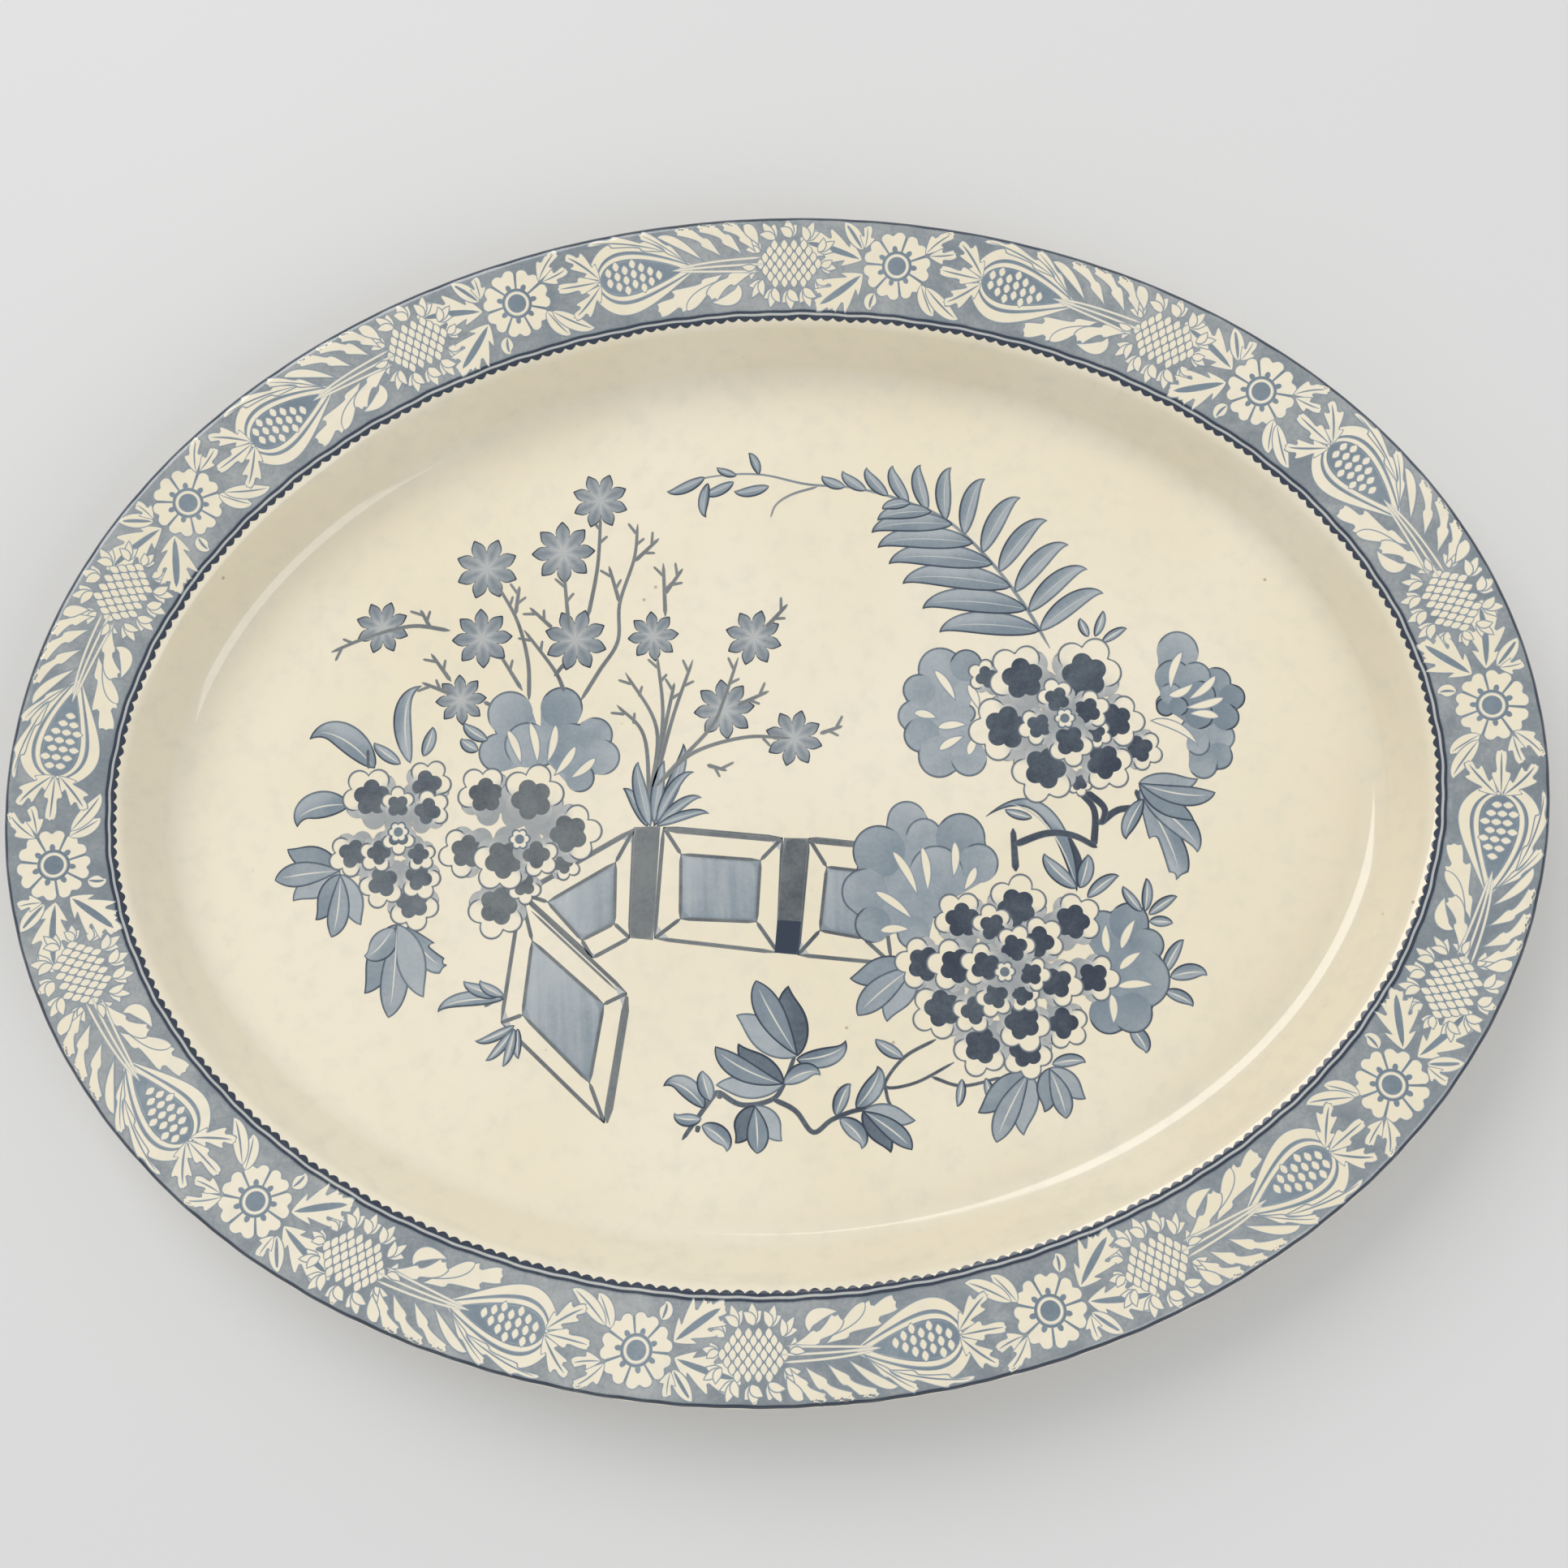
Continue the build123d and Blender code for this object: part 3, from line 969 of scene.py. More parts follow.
class PLATTER_OT_border_fruit(Operator):
    """Prints the border's seeded fruit and its scaly cones with their ring of petals"""

    bl_idname = "platter.border_fruit"
    bl_label = "Border fruit and cones"

    def execute(self, context):
        fruit = Motif("border_fruit")
        white, blue = "Reserved figure", "Printed line"
        # nested husks, wide at the left end and drawn out to the stalks on the right
        for start, end, width, kind, lift in (
            (22.2, 56, 22.5, white, 0.034), (24.6, 56, 15.8, blue, 0.040),
            (25.0, 56, 14.2, white, 0.046), (25.8, 52, 11.0, blue, 0.052),
            (26.2, 52, 9.8, blue, 0.055),
        ):
            spine = [complex(x, -14.3) for x in (end, 46, 31, start)]
            ink = 0.0 if kind == white else 0.58
            fruit.add(kind, blade(spine, width, ink, skew=1.65, full=0.62, rows=34, columns=7, lift=lift))
        for column in range(7):
            for row in (-1, 0, 1):
                spot = complex(28.8 + 2.5 * column, -14.3 + 3.0 * (row + 0.5 * (column % 2) - 0.25))
                if abs((spot.real - 35.0) / 9.4 + 1j * (spot.imag + 14.3) / 4.2) < 1:
                    seed = blade([spot - 1.7j, spot + 1.7j], 2.5, 0.0, rows=6, columns=3, skew=1,
                                 full=0.9, lift=0.060)
                    fruit.add(white, seed)
        cone = complex(83.4, -14.6)
        for row in range(-4, 5):
            for column in range(-4, 5):
                step = complex(2.9 * (column + 0.5 * (row % 2)), 1.85 * row)
                if abs(step.real / 8.9 + 1j * step.imag / 7.0) < 1:
                    ends = [cone + step - 1.75j, cone + step + 1.75j]
                    bract = blade(ends, 2.55, 0.0, rows=7, columns=3, skew=1, full=0.8, lift=0.045)
                    fruit.add(white, bract)
        # each petal of the ring is three blades, fanned by these turns and lengths
        fan = ((-0.62, 0.86), (0.0, 1.12), (0.62, 0.86))
        around = (
            (-4, 7, -7.5, 12, 5), (0.5, 7.5, -0.5, 12.8, 5.6), (5, 6.5, 7, 12, 5),
            (8.5, 3.5, 13, 6.5, 4.6), (9.5, -0.5, 14, -1.2, 4.6), (8, -4.5, 12, -8.5, 4.6),
            (4.5, -7, 6.5, -12.6, 5.2), (0, -7.5, 0.5, -13.2, 5.6), (-4.5, -7, -6, -12.6, 5.2),
            (-8, -4.5, -11.5, -9.5, 4.6), (-10, -0.5, -14.5, -3.4, 4.2), (-8.5, 3.5, -12.5, 7.5, 4.6),
        )
        for bx, by, tx, ty, width in around:
            base, reach = cone + complex(bx, by), complex(tx - bx, ty - by)
            for turn, share in fan:
                tip = base + share * reach * np.exp(1j * turn)
                spine = [base, base + share * reach * (0.5 + 0.1j * turn), tip]
                petal = blade(spine, width * 0.58, 0.0, skew=0.9, full=0.8, rows=8, columns=3,
                              lift=fruit.next_lift(0.022))
                fruit.add(white, petal)
        fruit.print_round_rim()
        return {"FINISHED"}


# ---------------------------------------------------------------- operators: the centre picture


def bunch(centre, lobes, ink, *, core=3.0, count=150, **look):
    """Round lobes joined into one leaf: its reach is the farthest that any lobe is crossed.

    A ray at angle a leaves a lobe of radius r, at distance d and bearing b, at
    d cos(a - b) + sqrt(r^2 - d^2 sin^2(a - b)).
    """
    x, y, radius = np.array(lobes).T[:, :, None]
    away = x + 1j * y - centre
    turned = 2 * pi * np.arange(count) / count - np.angle(away)
    under = radius**2 - (abs(away) * np.sin(turned)) ** 2
    reach = abs(away) * np.cos(turned) + np.sqrt(np.maximum(under, 0))
    reach = np.where((under > 0) & (np.cos(turned) > 0), reach, 0).max(0)
    return disc(centre, np.maximum(reach, core), ink, **look)


def scale(centre, radius, root, ink, lift):
    """A round lobe whose darker edge shows only on the side away from the leaf's root."""
    shape = oval(centre, radius, ink, rings=4, lift=lift, count=40)
    inward = (root - centre) / abs(root - centre)
    depth = ((shape.points - centre) * inward.conjugate()).real / radius
    return shape._replace(
        edge=shape.edge + 2.0 * np.clip(depth + 0.35, 0, 1),
        ink=shape.ink + 0.05 * depth,
    )


def star(centre, radius, turn, lift, points=8):
    """An open blossom of round petals with a small point to each.

    Over a petal, f runs from -1 to 1 and the reach is 0.54 + 0.38 (1 - |f|^1.8)^0.7 +
    0.08 exp(-(f / 0.2)^2) of the radius. Pale rays part the petals and a vein darkens each.
    """
    half = 6
    count = 2 * half * points
    f = (np.arange(count) / half) % 2 - 1
    reach = 0.54 + 0.38 * (1 - abs(f) ** 1.8) ** 0.7 + 0.08 * np.exp(-((f / 0.2) ** 2))

    def petals(from_centre):
        share = abs(from_centre) / radius
        f = (np.angle(from_centre) * points / pi + 1e-9) % 2 - 1
        parting = -0.13 * abs(f) ** 3 * (share > 0.1) * (1.2 - share)
        vein = 0.10 * np.exp(-((f / 0.25) ** 2)) * (share > 0.3)
        return parting + vein + 0.10 * share - 0.16 * np.exp(-((share / 0.24) ** 2))

    shape = disc(0j, radius * reach, 0.42, rings=5, warm=0.35, lift=lift, tint=petals)
    return shape._replace(points=centre + shape.points * np.exp(1j * turn))


def floweret(at, radius, outward, lift, heart_ink, heart_warm):
    """A scalloped floweret: shaded petals behind, white ones in front and a dark clover.

    The outline fades on the side towards the middle of the flower head, where only the
    shading parts the petals.
    """
    turn = np.angle(outward)

    def petals(shift, reach, ink, depth, height, fade):
        """Five round petals, washed darker by depth towards the middle of the head."""
        shape = lobed(at + shift * radius * outward, reach * radius, 5, ink, turn=turn, bulge=0.16,
                      count=80, lift=height, rings=4, warm=0.5)
        out = ((shape.points - at) / outward).real / radius
        return shape._replace(
            ink=shape.ink + depth * np.clip(0.5 - out, 0, 1.3),
            edge=shape.edge + 3.0 * np.clip(fade - out, 0, 1),
        )

    behind = petals(-0.22, 1.86, 0.22, 0.16, lift, 0.3)
    front = petals(0.30, 1.78, 0.0, 0.31, lift + 0.003, 0.1)
    lobes = 5 if radius > 4 else 4
    clover = lobed(at, radius * 1.18, lobes, heart_ink, turn=turn + pi / lobes, bulge=0.36,
                   warm=heart_warm, lift=lift + 0.006, rings=2, count=60)
    return [front], [behind], [clover]


class PLATTER_OT_fence(Operator):
    """Prints the folding garden fence: framed panels with streaked fields, and dark posts"""

    bl_idname = "platter.fence"
    bl_label = "Garden fence"

    def execute(self, context):
        fence = Motif("fence")
        panels = (
            (xy((33, -53), (30, -17), (10, -14), (5, -49)),
             xy((25, -45), (27, -25), (15, -23), (12, -42))),
            (xy((-1, -48), (2, -13.5), (-34, -8.5), (-38, -42)),
             xy((-7, -38.5), (-5, -20), (-29, -17), (-30, -36.5))),
            (xy((-45.5, -41.5), (-43, -8.5), (-78, -26.5), (-57, -47)),
             xy((-50, -37), (-49, -18.5), (-70, -29.5), (-60, -41.5))),
            (xy((-55, -96), (-47, -58), (-78, -27), (-85, -65)),
             xy((-59, -84), (-54, -61), (-75, -41), (-78.5, -63))),
        )
        for k, (outer, inner) in enumerate(panels):
            level = 0.01 * k
            fence.add("Reserved white", panel(outer, 0.01, lift=0.02 + level))
            field = panel(inner, 0.40, lift=0.023 + level)
            right, low = np.meshgrid(np.linspace(0.5, -0.5, 9), np.linspace(0.5, -0.5, 9))
            fence.add("Washed field", field._replace(ink=field.ink + 0.11 * (right + low).ravel()))
            for here, there in ((outer, outer), (inner, inner), (outer, inner)):
                for side in range(4):
                    ends = [here[side], there[side if there is not here else (side + 1) % 4]]
                    width = 1.1 if here is inner else 1.25
                    fence.add("Printed line", stroke(ends, width, 0.74, warm=1.0, lift=0.026 + level))
        # the upper rails, the doubled edge of the near panel and its thick dark end
        for ax, ay, bx, by, width in (
            (-34, -9.2, 2, -14.2, 1.6), (10, -14.6, 30, -17.5, 1.8), (-78, -26.8, -43, -8.8, 1.5),
            (-75, -32, -50, -57, 0.8), (-46.8, -59, -54.2, -96, 2.4), (-38, -42, -1, -48, 0.9),
        ):
            ends = [complex(ax, ay), complex(bx, by)]
            fence.add("Printed line", stroke(ends, width, 0.70, warm=1.0, lift=0.06))
        fence.add(
            "Printed line",
            panel(xy((-45.5, -41.5), (-38.5, -42.5), (-35, -8), (-43, -8)), 0.71, warm=1.0, lift=0.062),
            panel(xy((-2, -48), (5, -49), (10, -14), (2.5, -13.5)), 0.72, warm=1.0, lift=0.062),
            panel(xy((-2, -48), (5, -49), (6.4, -39), (-0.7, -38.2)), 1.0, lift=0.066),
        )
        fence.print_in_well()
        return {"FINISHED"}


class PLATTER_OT_blossoms(Operator):
    """Prints the starry blossoms on their forked twigs and the blades at their foot"""

    bl_idname = "platter.blossoms"
    bl_label = "Blossoms and twigs"

    def execute(self, context):
        spray = Motif("blossom")
        twigs = (
            ((-55, 58), (-51.5, 74), (-50, 90)),
            ((-58, 32), (-52, 41), (-46, 50), (-45, 62), (-40, 76), (-38.5, 87)),
            ((-45, 62), (-48, 74)), ((-31, 57), (-31, 74)), ((-40, 75), (-32, 82)),
            ((-31, 64), (-25, 72)), ((-74, 33), (-74, 45), (-77, 58), (-83, 70)),
            ((-77.5, 60), (-76, 69)), ((-61, 55), (-62, 72)), ((-66, 55), (-73, 62)),
            ((-63, 35), (-66, 42), (-75, 55)), ((-98, 56), (-110, 58), (-124, 55), (-135, 51)),
            ((-104, 57), (-107, 63)), ((-98, 40), (-104, 49)), ((-98, 36), (-107, 40)),
            ((-76, 36), (-84, 50)), ((-66, 40), (-60, 47)), ((-88, 33), (-82, 30)),
            ((-38, 0), (-39, 20), (-47, 30)), ((-38, 0), (-35, 22), (-44, 40)),
            ((-37, 0), (-33, 25), (-34, 45)), ((-37, 2), (-30, 25), (-23, 43)),
            ((-37, 4), (-31, 28), (-29, 36)), ((-36, 4), (-28, 12), (-18, 22), (-14, 30), (-9, 43)),
            ((-10, 28), (0, 32)), ((-35, 5), (-24, 14), (-8, 18), (6, 17)), ((15, 18), (22, 20)),
            ((-20, 10), (-14, 8)), ((0, 52), (7, 59)),
        )
        spray.lines(twigs, width=1.35, ink=0.66, end=0.95, warm=1.0)
        # two short side prongs near the end of each twig
        for twig in twigs:
            tip, before = complex(*twig[-1]), complex(*twig[-2])
            way = (tip - before) / abs(tip - before)
            for share, turn, length in ((0.30, 0.75, 4.5), (0.62, -0.8, 3.6)):
                root = tip + (before - tip) * share * min(1, 14 / abs(tip - before))
                ends = [root, root + length * way * np.exp(1j * turn)]
                spray.add("Printed line", stroke(ends, 1.05, 0.62, end=0.8, warm=1.0, lift=0.044))
        for k, (x, y, radius) in enumerate((
            (-86, 75, 10), (-62, 79, 10), (-50, 95, 9), (-88, 53, 9.5), (-119, 58, 8.5),
            (-95, 34, 8), (-59, 51, 10), (-35, 51, 8), (-4, 49, 9), (-14, 27, 9.5), (7, 17, 9),
        )):
            spray.add("Printed ink", star(complex(x, y), radius, 0.4 * k, lift=0.06))
        spray.leaves((
            (-39, -8, -46, 4, -0.15, 4.0, 0), (-38, -8, -41, 12, 0.10, 4.6, 0),
            (-37, -8, -27, 17, -0.10, 4.4, 0), (-37, -7, -33, 12, 0.05, 4.0, 0),
            (-36, -8, -22, 0, 0.20, 3.4, 0), (-36, -8, -20, -5, 0.15, 3.0, 0),
            (-36, -7, -24, 8, 0.22, 3.6, 0),
        ), lift=0.066, rib=0.35)
        spray.print_in_well()
        return {"FINISHED"}


class PLATTER_OT_lobed_leaves(Operator):
    """Prints the round-lobed leaves behind the flower heads, with white slits for veins"""

    bl_idname = "platter.lobed_leaves"
    bl_label = "Lobed leaves"

    def execute(self, context):
        leaf = Motif("lobed_leaf")
        bunches = (
            ((-70, 15), ((-80, 29, 7), (-64, 30, 6.5), (-84, 17, 6), (-75, 19, 7),
                         (-61, 17, 8), (-54, 21, 5.5), (-52, 14, 5.5), (-59, 8, 4.5)), 0.42),
            ((60, 22), ((53, 36, 7), (61, 37, 5), (46, 30, 5), (44, 22, 5), (46, 16, 5.5),
                        (51, 9, 6.5), (60, 8, 5.5)), 0.44),
            ((121, 22), ((126, 38, 6.4), (124, 30, 5.6), (131, 30, 4.6), (123, 25, 3.4)), 0.45),
            ((128, 14), ((137, 11, 4.4), (136, 5, 4.2), (131, 2.6, 4.4), (130, 9, 3.6)), 0.44),
            ((121, 21), ((137, 28, 4.6), (141.5, 23, 4), (139, 17, 4.2), (132, 24, 4.6),
                         (131, 18, 4.4), (125, 21, 3)), 0.58),
            ((47, -37), ((40, -10, 6), (31, -19, 8), (26, -31, 7), (45, -15, 5.5), (56, -16, 7.5),
                         (61, -24, 6), (48, -26, 8), (28, -41, 5.5), (40, -44, 5)), 0.43),
            ((96, -56), ((97, -46, 6), (105, -44, 6), (110, -51, 5), (107, -61, 9),
                         (97, -71, 6), (104, -71, 6)), 0.50),
        )
        for level, (centre, lobes, ink) in enumerate(bunches):
            root, lift = complex(*centre), 0.070 + 0.0012 * level
            leaf.add("Printed ink", bunch(root, lobes, ink, rings=5, lift=lift))
            for k, (x, y, radius) in enumerate(lobes):
                tone = ink + (-0.03, 0.05, 0.0)[k % 3]
                height = lift + FILM_STEP * (k + 1)
                leaf.add("Printed ink", scale(complex(x, y), radius, root, tone, height))
        leaf.slits((
            (-81, 24, -77, 13), (-74, 26, -72, 13), (-66, 25, -69, 13), (-60, 18, -67, 9),
            (-54, 14, -62, 8), (51, 36, 57, 26), (61, 31, 64, 23), (44, 23, 51, 21),
            (51, 18, 60, 18.5), (51, 11, 59, 15), (60, 9, 63, 15), (127.5, 38, 123, 26, -0.18),
            (137, 30, 128, 23, 0.14), (139, 23, 127, 20.5, 0.10), (137, 17, 128, 18.5, -0.12),
            (116, 17, 130, 8.5, 0.26), (122, 24.5, 130, 28, -0.22), (35, -19, 42, -33),
            (44, -18, 45, -32), (29, -31, 40, -40), (30, -43, 39, -43), (54, -17, 53, -28),
            (60, -25, 56, -32), (98, -53, 98, -44), (102, -52, 107, -43), (101, -58, 108, -53),
            (100, -63, 111, -63), (98, -65, 98, -74),
        ), lift=0.112)
        leaf.print_in_well()
        return {"FINISHED"}


class PLATTER_OT_flower_heads(Operator):
    """Prints the four large flower heads, each packed with scalloped flowerets"""

    bl_idname = "platter.flower_heads"
    bl_label = "Flower heads"

    def execute(self, context):
        heads = (
            ("upper_right", 90 + 19j, 0.86, 0.3, (
                (78, 32, 5.5), (97, 32, 6), (88, 25, 3.3), (97, 21, 3.5), (72, 17, 5.7),
                (82, 17, 3.3), (105, 17.5, 4.6), (91, 12, 4), (99, 14, 2.6), (83, 4, 5.5),
                (101, 5, 4.6), (112, 8.5, 3.6), (93, -1, 2.2), (67, 33, 3))),
            ("left", -115 - 6j, 0.80, 0.6, (
                (-123, 5, 4.8), (-115, 2, 3), (-106, 8, 4), (-106, 0, 3.5), (-129, -12, 3.8),
                (-121, -12, 3.2), (-115, -7, 3), (-109, -13, 2.8), (-120, -21, 4),
                (-109, -20, 3.6), (-111, -27.5, 4.4))),
            ("middle_left", -78 - 10j, 0.76, 0.9, (
                (-88, 4, 4.6), (-74, 2, 5.4), (-63, -9, 5), (-94, -13, 4.4), (-83, -16, 5),
                (-73, -15, 3.6), (-65, -18, 2.8), (-85, -30, 5), (-77, -24, 3))),
            ("lower_right", 66.7 - 57j, 0.88, 0.35, (
                (55, -41, 4.5), (71.5, -38, 5), (64, -43.5, 3.5), (88, -43, 4.5),
                (70, -50, 3.5), (77.5, -48.5, 4), (43, -53.5, 4.5), (52.5, -54.5, 4.5),
                (61, -55, 3.8), (74.5, -58, 3), (82, -61, 4), (93, -60, 4), (63.5, -64, 3.3),
                (71.5, -64, 2.8), (47.5, -67, 4.8), (57, -68, 3.6), (71, -72, 4.6),
                (83, -73, 4), (58.5, -78.5, 4.6), (71.5, -80.5, 4.3))),
        )
        for name, middle, ink, warm, hearts in heads:
            head = Motif(f"flower_{name}")
            spots = np.array(hearts)
            away = spots[:, 0] + 1j * spots[:, 1] - middle
            for level, k in enumerate(np.argsort(-abs(away))):
                out = away[k] / abs(away[k])
                lift = 0.12 + 0.007 * level
                parts = floweret(middle + away[k], spots[k, 2], out, lift, ink, warm)
                for kind, shapes in zip(("Petal white", "Petal shade", "Printed line"), parts):
                    head.add(kind, *shapes)
            top = 0.12 + 0.007 * len(hearts)
            head.add("Petal white", lobed(middle, 3.4, 6, 0.02, lift=top))
            head.add("Printed line", oval(middle, 1.5, 0.7, lift=top + 0.004, count=14))
            head.print_in_well()
        return {"FINISHED"}


class PLATTER_OT_leaves(Operator):
    """Prints the pointed and toothed leaves, stems and tendrils round the flower heads"""

    bl_idname = "platter.leaves"
    bl_label = "Leaves and stems"

    def execute(self, context):
        growth = Motif("foliage")
        growth.leaves((
            (-122, 14, -142, 24, -0.42, 8.5, 0), (-111, 15, -107, 39, 0.34, 5.6, 0),
            (-114, 15, -122, 22, 0.10, 4, 0), (-107, 17, -104, 26, -0.10, 4, 0),
            (-130, 3, -146, -3, -0.42, 8.5, 0), (-90, 18, -95, 22, 0.20, 4, 0),
            (-87, 21, -94, 27, 0.20, 4, 0),
            (-113, -35, -101, -47, -0.25, 9, 2), (-117, -35, -126, -43, 0.25, 8, 0),
            (-84, -58, -104, -61, -0.20, 4.6, 0), (-85, -57, -96, -52, 0.15, 4, 0),
            (-84, -57, -91, -52, 0.20, 3.5, 0), (-81, -66, -93, -70, 0.15, 3, 0),
            (-81, -67, -90, -76, 0.10, 3, 0), (-81, -67, -85, -78, 0.10, 3, 0),
            (-80, -67, -80, -76, -0.10, 3, 0),
            (111, -4, 120, -32, 0.18, 11, 2),
            (112, -6, 127, -24, 0.20, 8, 0), (112, -7, 106, -19, -0.15, 5, 0),
            (99, 44, 97, 50, 0.10, 3, 0), (101, 44, 104, 52, -0.10, 3, 0),
            (103, 42, 111, 46, 0.10, 3, 0), (90, -34, 64, -10, -0.62, 4.2, 0),
            (90, -33, 81, -22, 0.15, 5, 0), (91, -33, 94, -23, -0.10, 5, 0),
            (93, -36, 103, -30, 0.15, 4, 0), (78, -11, 70, -8, 0.10, 3, 0),
            (109, -41, 104, -33, 0.10, 3.4, 0), (110, -41, 111, -31, -0.10, 3.4, 0),
            (111, -42, 120, -37, 0.10, 3.4, 0), (111, -44, 118, -45, 0.10, 3.4, 0),
            (114, -60, 121, -50, 0.10, 4, 0), (116, -61, 127, -61, 0.25, 5, 0),
            (114, -65, 122, -70, 0.20, 4, 0), (103, -75, 107, -83, 0.20, 5, 0),
            (38, -53, 27, -53, 0.20, 6, 0),
            (79, -85, 89, -85, 0.20, 4, 0), (35, -81, 27, -75, 0.10, 4, 0),
            (52, -88, 50, -96, 0.10, 3, 0), (59, -88, 60, -96, 0.10, 3, 0),
        ), lift=0.064)
        growth.three_lobed((
            (-133, -17, -153, -19, -0.06, 16), (-133, -18, -136, -37, 0.10, 14),
            (-116, -34, -119, -62, 0.05, 18), (111, -2, 134, -6, -0.16, 13),
            (40, -54, 22, -68, -0.08, 17), (72, -87, 61, -107, -0.06, 15),
            (78, -86, 82, -101, 0.08, 13),
        ), lift=0.064)
        growth.lines((
            ((72, -27), (72, -14)), ((72, -19), (82, -16), (90, -17), (97, -21)),
            ((96, -21), (97, -10), (93, -4)), ((98, -14), (104, -10), (111, -9), (110, -4)),
            ((91, -33), (91, -24), (86, -14), (80, -9)), ((95, -4), (100, -9), (99, -14)),
        ), width=2.3, ink=0.84, end=1.7, lift=0.06, warm=0.4)
        growth.lines((
            ((45, -76), (35, -81), (29, -89), (38, -88.5), (50, -83)), ((29, -89), (30, -94), (33, -98)),
            ((43, -87), (52, -90), (64, -88)), ((-124, 20), (-124, 14)), ((-84, -57), (-90, -60)),
        ), width=1.1, ink=0.82, end=0.9, lift=0.06)
        growth.print_in_well()
        return {"FINISHED"}


class PLATTER_OT_frond(Operator):
    """Prints the long arching frond, whose leaflets shorten towards its thin curling tip"""

    bl_idname = "platter.frond"
    bl_label = "Arching frond"

    def execute(self, context):
        frond = Motif("frond")
        rib = xy((87, 41), (80, 55), (70, 70), (58, 83), (45, 90), (30, 95), (15, 97), (0, 101),
                 (-15, 101), (-26, 98))
        frond.add("Printed line", stroke(rib, 1.3, 0.55, end=0.5, warm=0.4, lift=0.05))
        for count, last, lengths, bearings, bow in (
            (8, 0.43, (31, 34, 28, 9), (178, 175, 182, 190), -0.17),
            (12, 0.58, (23, 22, 14, 8), (28, 48, 100, 150), 0.20),
        ):
            share = np.linspace(0, 1, count)
            knots = np.linspace(0, 1, len(lengths))
            length = np.interp(share, knots, lengths)
            bearing = np.radians(np.interp(share, knots, bearings))
            bases = through(rib, 0.045 + share * (last - 0.045))
            tips = bases + length * np.exp(1j * bearing)
            frond.leaves(
                [(b.real, b.imag, t.real, t.imag, bow, 2.0 + 0.18 * abs(t - b), 0)
                 for b, t in zip(bases, tips)],
                lift=0.055, rib=0.35,
            )
        frond.leaves((
            (3, 97, -8, 96, 0.15, 3.5, 0), (0, 101, -3, 108, -0.15, 3, 0),
            (-8, 99, -18, 96, 0.20, 3.5, 0), (-16, 99, -17, 88, -0.20, 3.4, 0),
            (-17, 101, -29, 97, 0.15, 3.6, 0), (-7, 101, -13, 104, 0.15, 2.6, 0),
        ), lift=0.055, rib=0.3)
        frond.lines((((18, 96), (10, 94), (5, 91), (3, 87)),), width=0.8)
        frond.print_in_well()
        return {"FINISHED"}


class PLATTER_OT_low_spray(Operator):
    """Prints the loose spray below the fence: a crooked branch with toothed leaves"""

    bl_idname = "platter.low_spray"
    bl_label = "Low spray"

    def execute(self, context):
        spray = Motif("low_spray")
        spray.lines((
            ((-21, -88), (-14, -92.5), (-5, -91.5), (-1, -87), (3, -78)),
            ((-5, -91), (2, -95), (7, -101.5), (13, -98), (22, -95.5), (33, -97)),
            ((-21, -88), (-25, -93), (-32, -102)), ((-20.5, -90.5), (-20, -88)),
            ((-27, -98), (-27.5, -100)), ((-10, -92.5), (-8, -97)),
        ), width=1.7, ink=0.86, end=1.3, warm=0.5)
        spray.leaves((
            (3, -80, 18, -75, -0.30, 6, 0), (-1, -87, 10, -85, 0.36, 5.5, 0),
            (-25, -93, -37, -86, -0.40, 6, 0), (-23, -91, -25, -82, 0.10, 5, 0),
            (-26, -96, -34, -94, 0.30, 4, 0), (-26, -98, -19, -106, 0.34, 5.5, 0),
            (20, -95, 27, -83, -0.25, 6, 0), (14, -97, 19, -88, 0.15, 4.5, 0),
            (15, -98, 21, -107, 0.34, 5.5, 0),
        ), ink=0.52, shade=0.14, lift=0.055)
        spray.three_lobed((
            (3.5, -79, -8, -56, 0.06, 18), (-1, -87, -21, -75, 0.16, 14),
            (-10, -93, -10, -107, 0.06, 14), (22, -96, 36, -108, 0.10, 12),
        ), ink=0.58, shade=0.20, lift=0.055)
        spray.print_in_well()
        return {"FINISHED"}


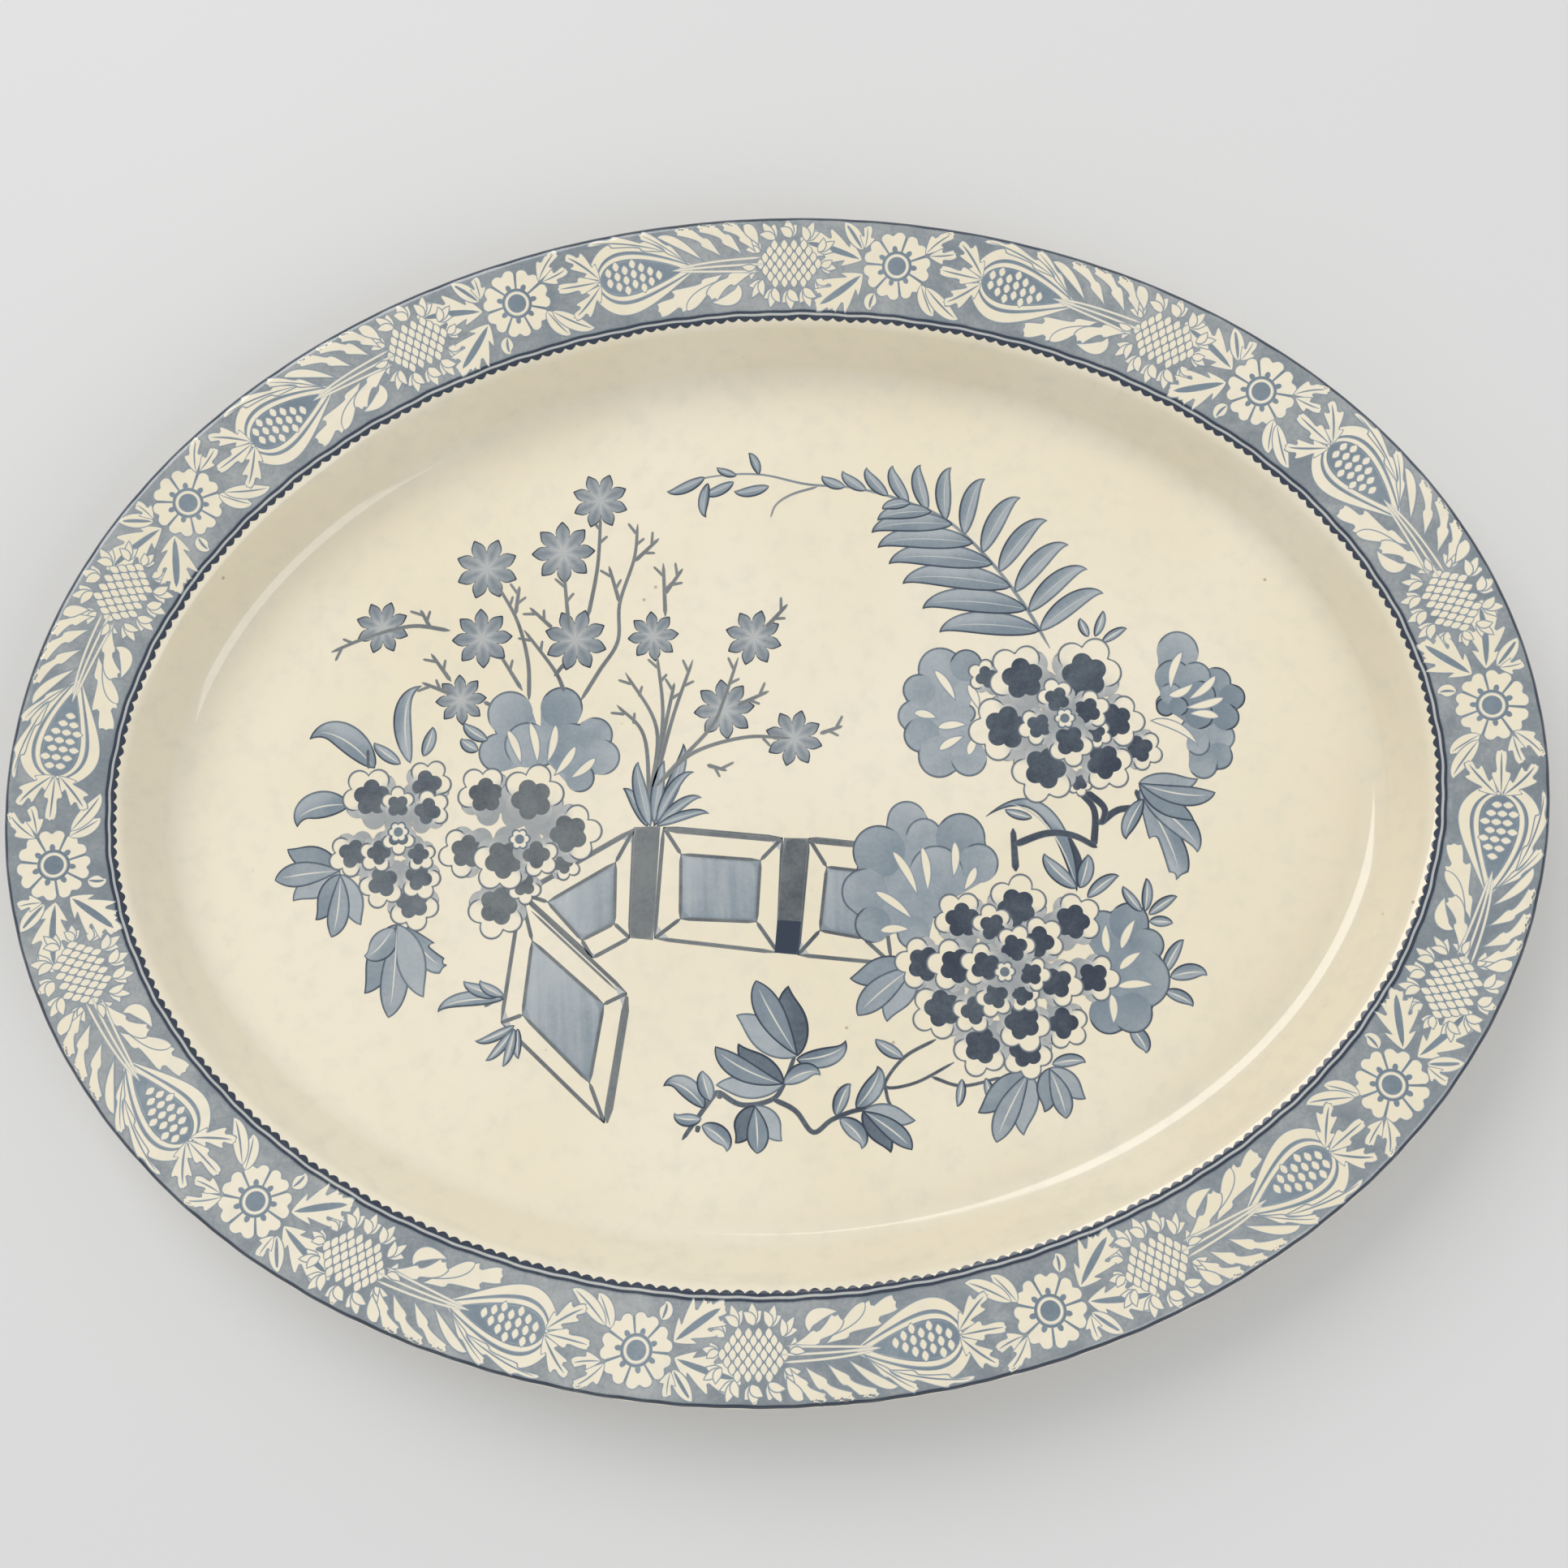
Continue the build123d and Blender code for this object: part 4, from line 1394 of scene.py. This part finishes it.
class PLATTER_OT_stage(Operator):
    """Sets the pale floor, the soft studio lights and the camera"""

    bl_idname = "platter.stage"
    bl_label = "Stage"

    def execute(self, context):
        self.floor()
        self.lights(context)
        self.camera(context)
        return {"FINISHED"}

    def floor(self):
        """A pale floor, matt and very slightly mottled."""
        half, side = 3.0, 9
        steps = np.linspace(-half, half, side)
        x, y = np.meshgrid(steps, steps, indexing="ij")
        points = np.stack([x.ravel(), y.ravel(), np.zeros(side**2)], 1)
        floor = new_object("floor", points, [grid_quads(side, side)])
        material, tree, shader, place = new_material("Pale floor")
        shade = noise(tree, place, 3.0, 4.0)
        pale = tuple(colours().floor)
        dim = tuple(0.96 * c for c in pale)
        tree.links.new(blend_colour(tree, shade, pale, dim), shader.inputs["Base Color"])
        shader.inputs["Roughness"].default_value = 0.8
        floor.data.materials.append(material)

    def lights(self, context):
        """A broad window light from the far left, a fill from the near right, and a pale world."""
        for name, place, size, power in (
            ("window", (-1.1, 1.5, 1.7), (2.0, 1.5), 32.0),
            ("fill", (1.3, -1.2, 1.5), (1.4, 1.4), 12.0),
        ):
            lamp = bpy.data.lights.new(name, "AREA")
            lamp.shape = "RECTANGLE"
            lamp.size, lamp.size_y = size
            lamp.energy = power
            light = bpy.data.objects.new(name, lamp)
            light.location = place
            light.rotation_euler = (-Vector(place)).to_track_quat("-Z", "Y").to_euler()
            context.scene.collection.objects.link(light)
        world = bpy.data.worlds.new("Studio")
        world.use_nodes = True
        sky = world.node_tree.nodes["Background"].inputs
        sky["Color"].default_value = (0.93, 0.96, 1.0, 1)
        sky["Strength"].default_value = 0.66
        context.scene.world = world
        context.scene.view_settings.view_transform = "Standard"

    def camera(self, context):
        """A camera nearly overhead, leaning to the near side and rolled a little."""
        lean, bearing, roll = radians(7.3), radians(-85.3), radians(-2.7)
        distance = 0.455
        back = Vector((sin(lean) * cos(bearing), sin(lean) * sin(bearing), cos(lean)))
        right = (-back).cross(Vector((-sin(roll), cos(roll), 0))).normalized()
        up = right.cross(-back)
        target = Vector((0.0035, 0.0, CLAY_HIGH.z))
        lens = bpy.data.cameras.new("camera")
        lens.sensor_width = 36.0
        lens.lens = 36.0
        lens.clip_start = 0.01
        camera = bpy.data.objects.new("camera", lens)
        turned = Matrix((right, up, back)).transposed().to_4x4()
        camera.matrix_world = Matrix.Translation(target + back * distance) @ turned
        context.scene.collection.objects.link(camera)
        context.scene.camera = camera


OPERATORS = (
    PLATTER_OT_materials,
    PLATTER_OT_clay,
    PLATTER_OT_glaze,
    PLATTER_OT_border_ground,
    PLATTER_OT_border_florets,
    PLATTER_OT_border_leaves,
    PLATTER_OT_border_fruit,
    PLATTER_OT_fence,
    PLATTER_OT_blossoms,
    PLATTER_OT_frond,
    PLATTER_OT_low_spray,
    PLATTER_OT_leaves,
    PLATTER_OT_lobed_leaves,
    PLATTER_OT_flower_heads,
    PLATTER_OT_stage,
)


class PLATTER_PT_sidebar(Panel):
    """Lists the platter's pieces, sizes and colours"""

    bl_label = "Oval China Platter"
    bl_space_type = "VIEW_3D"
    bl_region_type = "UI"
    bl_category = "Platter"

    def draw(self, context):
        for operator in OPERATORS:
            self.layout.operator(operator.bl_idname)
        for group in (context.scene.platter_sizes, context.scene.platter_colours):
            box = self.layout.box()
            for label in group.bl_rna.properties.keys():
                if label not in ("rna_type", "name"):
                    box.prop(group, label)


CLASSES = (PlatterSizes, PlatterColours, *OPERATORS, PLATTER_PT_sidebar)


def register():
    """Registers the classes and hangs the settings on the scene."""
    for cls in CLASSES:
        bpy.utils.register_class(cls)
    bpy.types.Scene.platter_sizes = PointerProperty(type=PlatterSizes)
    bpy.types.Scene.platter_colours = PointerProperty(type=PlatterColours)


def unregister():
    """Takes the settings off the scene and the classes back out."""
    del bpy.types.Scene.platter_colours
    del bpy.types.Scene.platter_sizes
    for cls in reversed(CLASSES):
        bpy.utils.unregister_class(cls)


def main():
    """Registers the add-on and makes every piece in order."""
    register()
    FACE["map"] = FaceMap()
    for operator in OPERATORS:
        group, name = operator.bl_idname.split(".")
        getattr(getattr(bpy.ops, group), name)()


if __name__ == "__main__":
    main()
